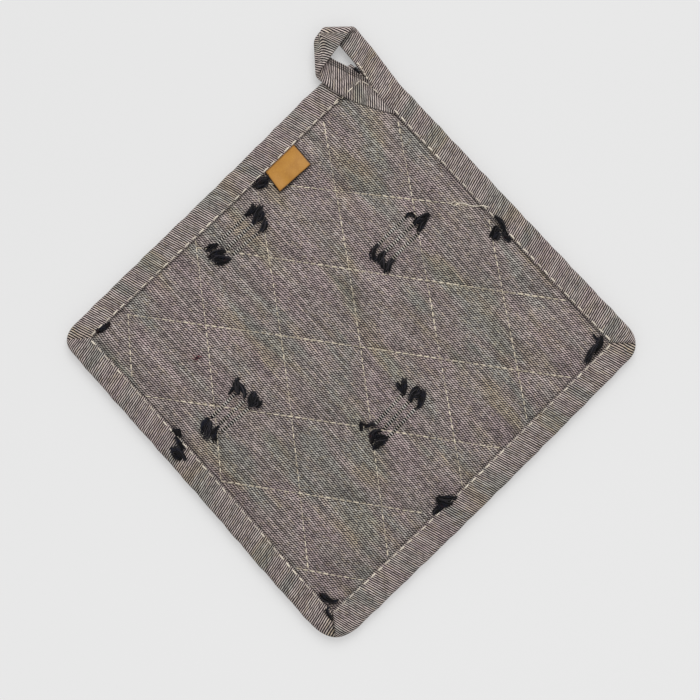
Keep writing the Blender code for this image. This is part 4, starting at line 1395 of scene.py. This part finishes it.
def yarn_fibres(surface, row, rng):
    """Paths and radii of the fibres of one clipped end, splaying from its root."""
    root, bend, tip = (np.array((row[name + "_x"], row[name + "_y"]))
                       for name in ("root", "bend", "tip"))
    share = np.linspace(0.0, 1.0, FIBRE_STEPS)
    plan = curve_between(root[None], bend[None], tip[None], share[:, None])
    floor = np.array([surface.height(place) for place in plan])
    across = turned_left(unit(tip - root))
    spread = ROOT_SPREAD + (1.0 - ROOT_SPREAD) * smooth(share * 1.6)
    arch = np.sin(math.pi * (0.12 + 0.74 * share)) ** 0.7
    paths, radii = [], []
    for _ in range(FIBRES):
        around = rng.uniform(0.0, 2.0 * math.pi)
        out = math.sqrt(rng.random()) * row["thickness"] * YARN_FULLNESS
        sideways = math.cos(around) * out * spread
        up = (0.5 + 0.5 * math.sin(around)) * out * CLUMP_RISE * arch
        turn = share * rng.uniform(*FIBRE_TWISTS) + rng.uniform(0.0, 6.3)
        twist = FIBRE_TWIST * row["thickness"] * np.sin(turn)
        stretched = plan[0] + (plan - plan[0]) * (1.0 + rng.uniform(*FIBRE_LONGER))
        places = stretched + across * (sideways + twist)[:, None]
        paths.append(np.column_stack((places, floor + CLUMP_BASE + up)))
        size = FIBRE * rng.uniform(*FIBRE_SIZES) * (1.0 - TIP_TAPER * share ** 4)
        radii.append(size * (1.0 - ROOT_TAPER + ROOT_TAPER * smooth(share * 5)))
    for _ in range(STRAY_HAIRS):
        around = rng.uniform(0.0, 2.0 * math.pi)
        middle = plan[int(rng.uniform(*HAIR_FROM) * (FIBRE_STEPS - 1))]
        way = np.array((math.cos(around), math.sin(around))) * rng.uniform(*HAIR_REACH)
        sway = HAIR_WAVE * np.sin(share * 4.0 + around)
        places = middle + way * share[:, None] + across * sway[:, None]
        height = surface.height(middle) + HAIR_BASE + HAIR_RISE * np.sin(share * 2.6)
        paths.append(np.column_stack((places, height)))
        radii.append(np.full(FIBRE_STEPS, HAIR))
    return paths, radii


def mark_fibres(piece, count, rng):
    """Give each fibre of the piece its own shade, from 0 to 1."""
    shades = [rng.random() for _ in range(count)]
    mark_points(piece, "shade", np.repeat(shades, len(piece.data.vertices) // count))


def make_yarn(surface):
    """One piece for each clump of clipped ends. The red fleck comes last."""
    rows = named_rows(YARN_COLUMNS, YARN_ROWS)
    rng = random.Random(5)
    pieces = []
    for clump in dict.fromkeys(row["clump"] for row in rows):
        paths, radii = [], []
        for row in rows:
            if row["clump"] == clump:
                more_paths, more_radii = yarn_fibres(surface, row, rng)
                paths += more_paths
                radii += more_radii
        points, faces = tubes(paths, radii, 5)
        piece = mesh_piece("yarn_" + clump, points, faces)
        mark_fibres(piece, len(paths), rng)
        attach(piece, "root")
        if clump not in LOOSE_CLUMPS:
            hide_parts("tuft_" + clump)
        pieces.append(piece)
    return pieces


# ---------------------------------------------------------------- finishes

class Wire:
    """A shader number or colour, on which sums can be written."""

    def __init__(self, finish, socket):
        self.finish, self.socket = finish, socket

    def __add__(self, other):
        return self.finish.maths("ADD", self, other)

    def __sub__(self, other):
        return self.finish.maths("SUBTRACT", self, other)

    def __rsub__(self, other):
        return self.finish.maths("SUBTRACT", other, self)

    def __mul__(self, other):
        return self.finish.maths("MULTIPLY", self, other)

    def __truediv__(self, other):
        return self.finish.maths("DIVIDE", self, other)

    __radd__ = __add__
    __rmul__ = __mul__


class Finish:
    """A procedural material, built node by node."""

    def __init__(self, name, roughness, **sockets):
        self.material = bpy.data.materials.new(name)
        self.material.use_nodes = True
        self.tree = self.material.node_tree
        self.shader = self.tree.nodes["Principled BSDF"]
        self.feed(self.shader.inputs["Roughness"], roughness)
        for socket, value in sockets.items():
            self.feed(self.shader.inputs[socket.replace("_", " ")], value)

    def feed(self, socket, value):
        if isinstance(value, Wire):
            self.tree.links.new(value.socket, socket)
        elif isinstance(value, tuple) and socket.type == "RGBA":
            socket.default_value = (*value, 1.0)
        else:
            socket.default_value = value

    def node(self, kind, settings=None, sockets=None, output=0):
        """Add a node: its settings are set first, then its sockets' values or links."""
        made = self.tree.nodes.new(kind)
        for name, value in (settings or {}).items():
            setattr(made, name, value)
        for name, value in (sockets or {}).items():
            self.feed(made.inputs[name], value)
        return Wire(self, made.outputs[output])

    def maths(self, operation, *values):
        return self.node("ShaderNodeMath", {"operation": operation}, dict(enumerate(values)))

    def grain(self):
        """The cloth's own two directions, in millimetres."""
        pair = self.node("ShaderNodeUVMap", {"uv_map": "grain"})
        along = self.node("ShaderNodeSeparateXYZ", None, {"Vector": pair}, 0)
        across = self.node("ShaderNodeSeparateXYZ", None, {"Vector": pair}, 1)
        return along / MM, across / MM

    def vector(self, x, y, z=0.0):
        return self.node("ShaderNodeCombineXYZ", None, {"X": x, "Y": y, "Z": z})

    def noise(self, vector, scale, detail=2.0, seed=0.0):
        return self.node("ShaderNodeTexNoise", {"noise_dimensions": "4D"},
                         {"Vector": vector, "Scale": scale, "Detail": detail, "W": seed})

    def chance(self, x, y, seed=0.0):
        """A different number from 0 to 1 for each pair of whole numbers."""
        return self.node("ShaderNodeTexWhiteNoise", {"noise_dimensions": "3D"},
                         {"Vector": self.vector(x, y, seed)})

    def between(self, value, low, high):
        """0 below the low value, 1 above the high one, eased."""
        return self.node("ShaderNodeMapRange", {"interpolation_type": "SMOOTHSTEP"},
                         {"Value": value, "From Min": low, "From Max": high})

    def attribute(self, name):
        """A number that the piece's points carry."""
        return self.node("ShaderNodeAttribute", {"attribute_name": name}, None, 2)

    def place(self):
        """Where a point lies on the piece, in metres."""
        return self.node("ShaderNodeTexCoord", output=3)

    def mix(self, first, second, factor, blend="MIX"):
        return self.node("ShaderNodeMix", {"data_type": "RGBA", "blend_type": blend},
                         {0: factor, 6: first, 7: second}, 2)

    def shaded(self, colour, level):
        """The colour times a number."""
        return self.mix(colour, self.vector(level, level, level), 1.0, "MULTIPLY")

    def bump(self, height, distance):
        bumped = self.node("ShaderNodeBump", None,
                           {"Height": height, "Distance": distance * MM, "Strength": 1.0})
        self.feed(self.shader.inputs["Normal"], bumped)

    def colour(self, value):
        self.feed(self.shader.inputs["Base Color"], value)

    def dress(self, *pieces):
        for piece in pieces:
            piece.data.materials.clear()
            piece.data.materials.append(self.material)


def woven(finish, along, across, look):
    """Rows of light beads of yarn on a dark ground: how light, how high, and the bead's number."""
    place = finish.vector(along, across)
    wobble = finish.noise(place, WOBBLE_SCALE, 1.0, 3.0) - 0.5
    swing = finish.noise(place, SWING_SCALE, 1.0, 9.0) - 0.5
    row_place = (across + wobble * look["wobble"] + swing * look["swing"]) / look["ridge"]
    row = finish.maths("FLOOR", row_place)
    in_row = row_place - row - 0.5
    slip = finish.chance(row, 3.0) * ROW_SLIP
    bead_place = along / look["bead"] + row_place * look["shift"] + slip + wobble * BEAD_WOBBLE
    column = finish.maths("FLOOR", bead_place)
    ridge_shape = finish.maths("COSINE", in_row * (2.0 * math.pi)) * 0.5 + 0.5
    bead_shape = finish.maths("COSINE", bead_place * (2.0 * math.pi)) * 0.5 + 0.5
    tone = finish.chance(row, column, 7.0)
    height = ridge_shape * (1.0 - look["beading"]) + bead_shape * look["beading"]
    light = finish.between(height + (tone - 0.5) * look["speckle"],
                           look["middle"] - look["edge"], look["middle"] + look["edge"])
    return light, height, row, column, tone


def cloth_finish(name, look, turned=False):
    """Woven cloth: light yarn of several colours on a dark ground, streaked and clouded, with painted
    shade from the crease marks.
    """
    finish = Finish(name, 0.92, Sheen_Weight=0.08, Sheen_Roughness=0.5, Specular_IOR_Level=0.2)
    along, across = finish.grain()
    if turned:
        along, across = across, along + across * STRIP_SLANT
    light, height, row, column, tone = woven(finish, along, across, look)
    streak = finish.vector(along * look["run"], across * STREAK_ACROSS)
    streak = finish.between(finish.noise(streak, 1.0, 2.0, 11.0), *STREAK_EDGES)
    stretched = finish.vector(along * STREAK_STRETCH, across)
    patch, tint, cloud = (finish.noise(stretched, *settings) for settings in CLOUDS)
    speck = finish.chance(row, column, 19.0)
    # Each colour of stray yarn: its place, where that begins and is full, and how strong it is.
    colours = (
        (OCHRE_YARN, patch, 0.5, 0.66, 0.62),
        (GREEN_YARN, tint, 0.5, 0.64, 0.62),
        (PURPLE_YARN, 1.0 - tint, 0.5, 0.64, 0.55),
        (OCHRE_YARN, speck, 0.84, 0.9, 0.35),
        (PALE_YARN, 1.0 - speck, 0.86, 0.94, look["pale"]),
    )
    yarn = look["yarn"]
    for colour, where, begins, full, strength in colours:
        yarn = finish.mix(yarn, colour, finish.between(where, begins, full) * strength)
    level = (1.0 - look["uneven"]) + tone * look["uneven"] + (streak - 0.5) * look["streak"]
    level = level + (cloud - 0.5) * look["cloud"]
    colour = finish.mix(DARK_YARN, finish.shaded(yarn, level), light)
    # Painted shade: the crease marks darken the colour beside the strip, under and beside the tab, in
    # mitres and along hem lines.
    finish.colour(finish.shaded(colour, 1.0 - finish.attribute("crease") * PAINTED_CREASE_SHADE))
    finish.bump(height + light * 0.3, 0.16)
    return finish


def thread_finish(name, light, shade):
    """Twisted thread, brighter on some stitches than on others, with painted shade between its plies.
    """
    finish = Finish(name, 0.8, Sheen_Weight=0.05, Sheen_Roughness=0.5, Specular_IOR_Level=0.2)
    along, across = finish.grain()
    number = finish.maths("FLOOR", along / STITCH_MARK + 0.5)
    ply = finish.maths("SINE", (along + across * PLY_SLANT) * PLY_TURN) * 0.5 + 0.5
    dull = finish.between(finish.chance(number, 2.0), 0.15, 0.85)
    colour = finish.mix(light, shade, dull)
    # Painted shade in the grooves between the plies.
    finish.colour(finish.mix(colour, PLY_GAP_SHADE, (1.0 - ply) * 0.25))
    finish.bump(ply, 0.08)
    return finish


def yarn_finish(name, ground):
    """Dull fibres with a little blue, grey and red among them."""
    finish = Finish(name, 0.9, Sheen_Weight=0.06, Sheen_Roughness=0.5, Specular_IOR_Level=0.15)
    place = finish.place()
    blue = finish.noise(place, 420.0, 2.0, 1.0)
    red = finish.noise(place, 260.0, 2.0, 8.0)
    shade = finish.attribute("shade")
    colour = finish.mix(ground, YARN_BLUE, finish.between(blue, 0.45, 0.7))
    colour = finish.mix(colour, YARN_GREY, finish.between(shade, 0.5, 1.0))
    finish.colour(finish.mix(colour, YARN_RED, finish.between(red, 0.62, 0.75) * 0.6))
    finish.bump(finish.noise(place, 3000.0, 2.0), 0.05)
    return finish


def leather_finish():
    """Mottled leather, darker towards the tab's rim."""
    finish = Finish("tan_leather", 0.5, Specular_IOR_Level=0.4)
    place = finish.place()
    cloud = finish.noise(place, 260.0, 4.0, 2.0)
    grain = finish.noise(place, 1500.0, 3.0, 4.0)
    toward_rim = finish.between(finish.attribute("rim") + (grain - 0.5) * 0.8, 0.4, 1.0)
    colour = finish.mix(TAN_DARK, TAN, finish.between(cloud, 0.3, 0.65))
    colour = finish.mix(colour, TAN_LIGHT, finish.between(grain, 0.5, 0.75) * 0.5)
    finish.colour(finish.mix(colour, TAN_RIM, toward_rim * 0.7))
    finish.bump(grain * 0.6 + cloud * 0.4, 0.08)
    return finish


# ---------------------------------------------------------------- making it

pad = make_pad()
strip = make_strip()
label = make_label()
cloth = Surface(pad, strip, label)
quilting, edging = make_stitches(cloth, Surface(pad, strip))
black_ticks, cream_ticks = make_ticks(cloth)
*black_clumps, red_fleck = make_yarn(cloth)
thread_end = make_thread_end(cloth)

cloth_finish("quilted_cloth_weave", PAD_LOOK).dress(pad)
cloth_finish("strip_weave", STRIP_LOOK, turned=True).dress(strip)
thread_finish("edge_thread", THREAD_LIGHT, THREAD_SHADE).dress(*edging, thread_end)
thread_finish("quilting_thread", QUILT_THREAD_LIGHT, QUILT_THREAD_SHADE).dress(*quilting)
thread_finish("float_gap_yarn", PALE_YARN, THREAD_SHADE).dress(cream_ticks)
yarn_finish("black_yarn", YARN_BLACK).dress(black_ticks, *black_clumps)
yarn_finish("red_yarn", FLECK_RED).dress(red_fleck)
leather_finish().dress(label)


# ---------------------------------------------------------------- floor, light and camera

def make_floor():
    """A pale floor whose own glow fades from front to back."""
    bpy.ops.mesh.primitive_plane_add(size=6.0, location=(0.0, 0.0, -FLOOR_DROP * MM))
    floor = bpy.context.active_object
    floor.name = "floor"
    finish = Finish("pale_floor", 0.9, Specular_IOR_Level=0.1, Emission_Strength=FLOOR_GLOW)
    finish.colour(FLOOR_COLOUR)
    place = finish.place()
    away = finish.node("ShaderNodeSeparateXYZ", None, {"Vector": place}, 1)
    glow = finish.mix(FLOOR_NEAR, FLOOR_FAR, finish.between(away, -FLOOR_FADE, FLOOR_FADE))
    finish.feed(finish.shader.inputs["Emission Color"], glow)
    finish.dress(floor)


def add_window():
    """A soft square light, high behind the object and turned to its middle."""
    data = bpy.data.lights.new("window", "AREA")
    data.shape, data.size, data.energy = "SQUARE", WINDOW_SIZE, WINDOW_POWER
    window = bpy.data.objects.new("window", data)
    window.location = WINDOW_PLACE
    window.rotation_euler = (-Vector(WINDOW_PLACE)).to_track_quat("-Z", "Y").to_euler()
    bpy.context.scene.collection.objects.link(window)


def light_the_room():
    """Even white light from all round."""
    world = bpy.data.worlds.new("studio")
    world.use_nodes = True
    background = world.node_tree.nodes["Background"]
    background.inputs["Color"].default_value = (1.0, 1.0, 1.0, 1.0)
    background.inputs["Strength"].default_value = ROOM_LIGHT
    bpy.context.scene.world = world
    bpy.context.scene.view_settings.view_transform = "Standard"


def add_camera():
    """A camera straight above the middle of the photo's view."""
    data = bpy.data.cameras.new("camera")
    data.lens, data.sensor_width = LENS, SENSOR
    camera = bpy.data.objects.new("camera", data)
    distance = FRAME_WIDTH * LENS / SENSOR
    camera.location = (VIEW_CENTRE[0] * MM, VIEW_CENTRE[1] * MM, (VIEW_HEIGHT + distance) * MM)
    bpy.context.scene.collection.objects.link(camera)
    bpy.context.scene.camera = camera


make_floor()
add_window()
light_the_room()
add_camera()
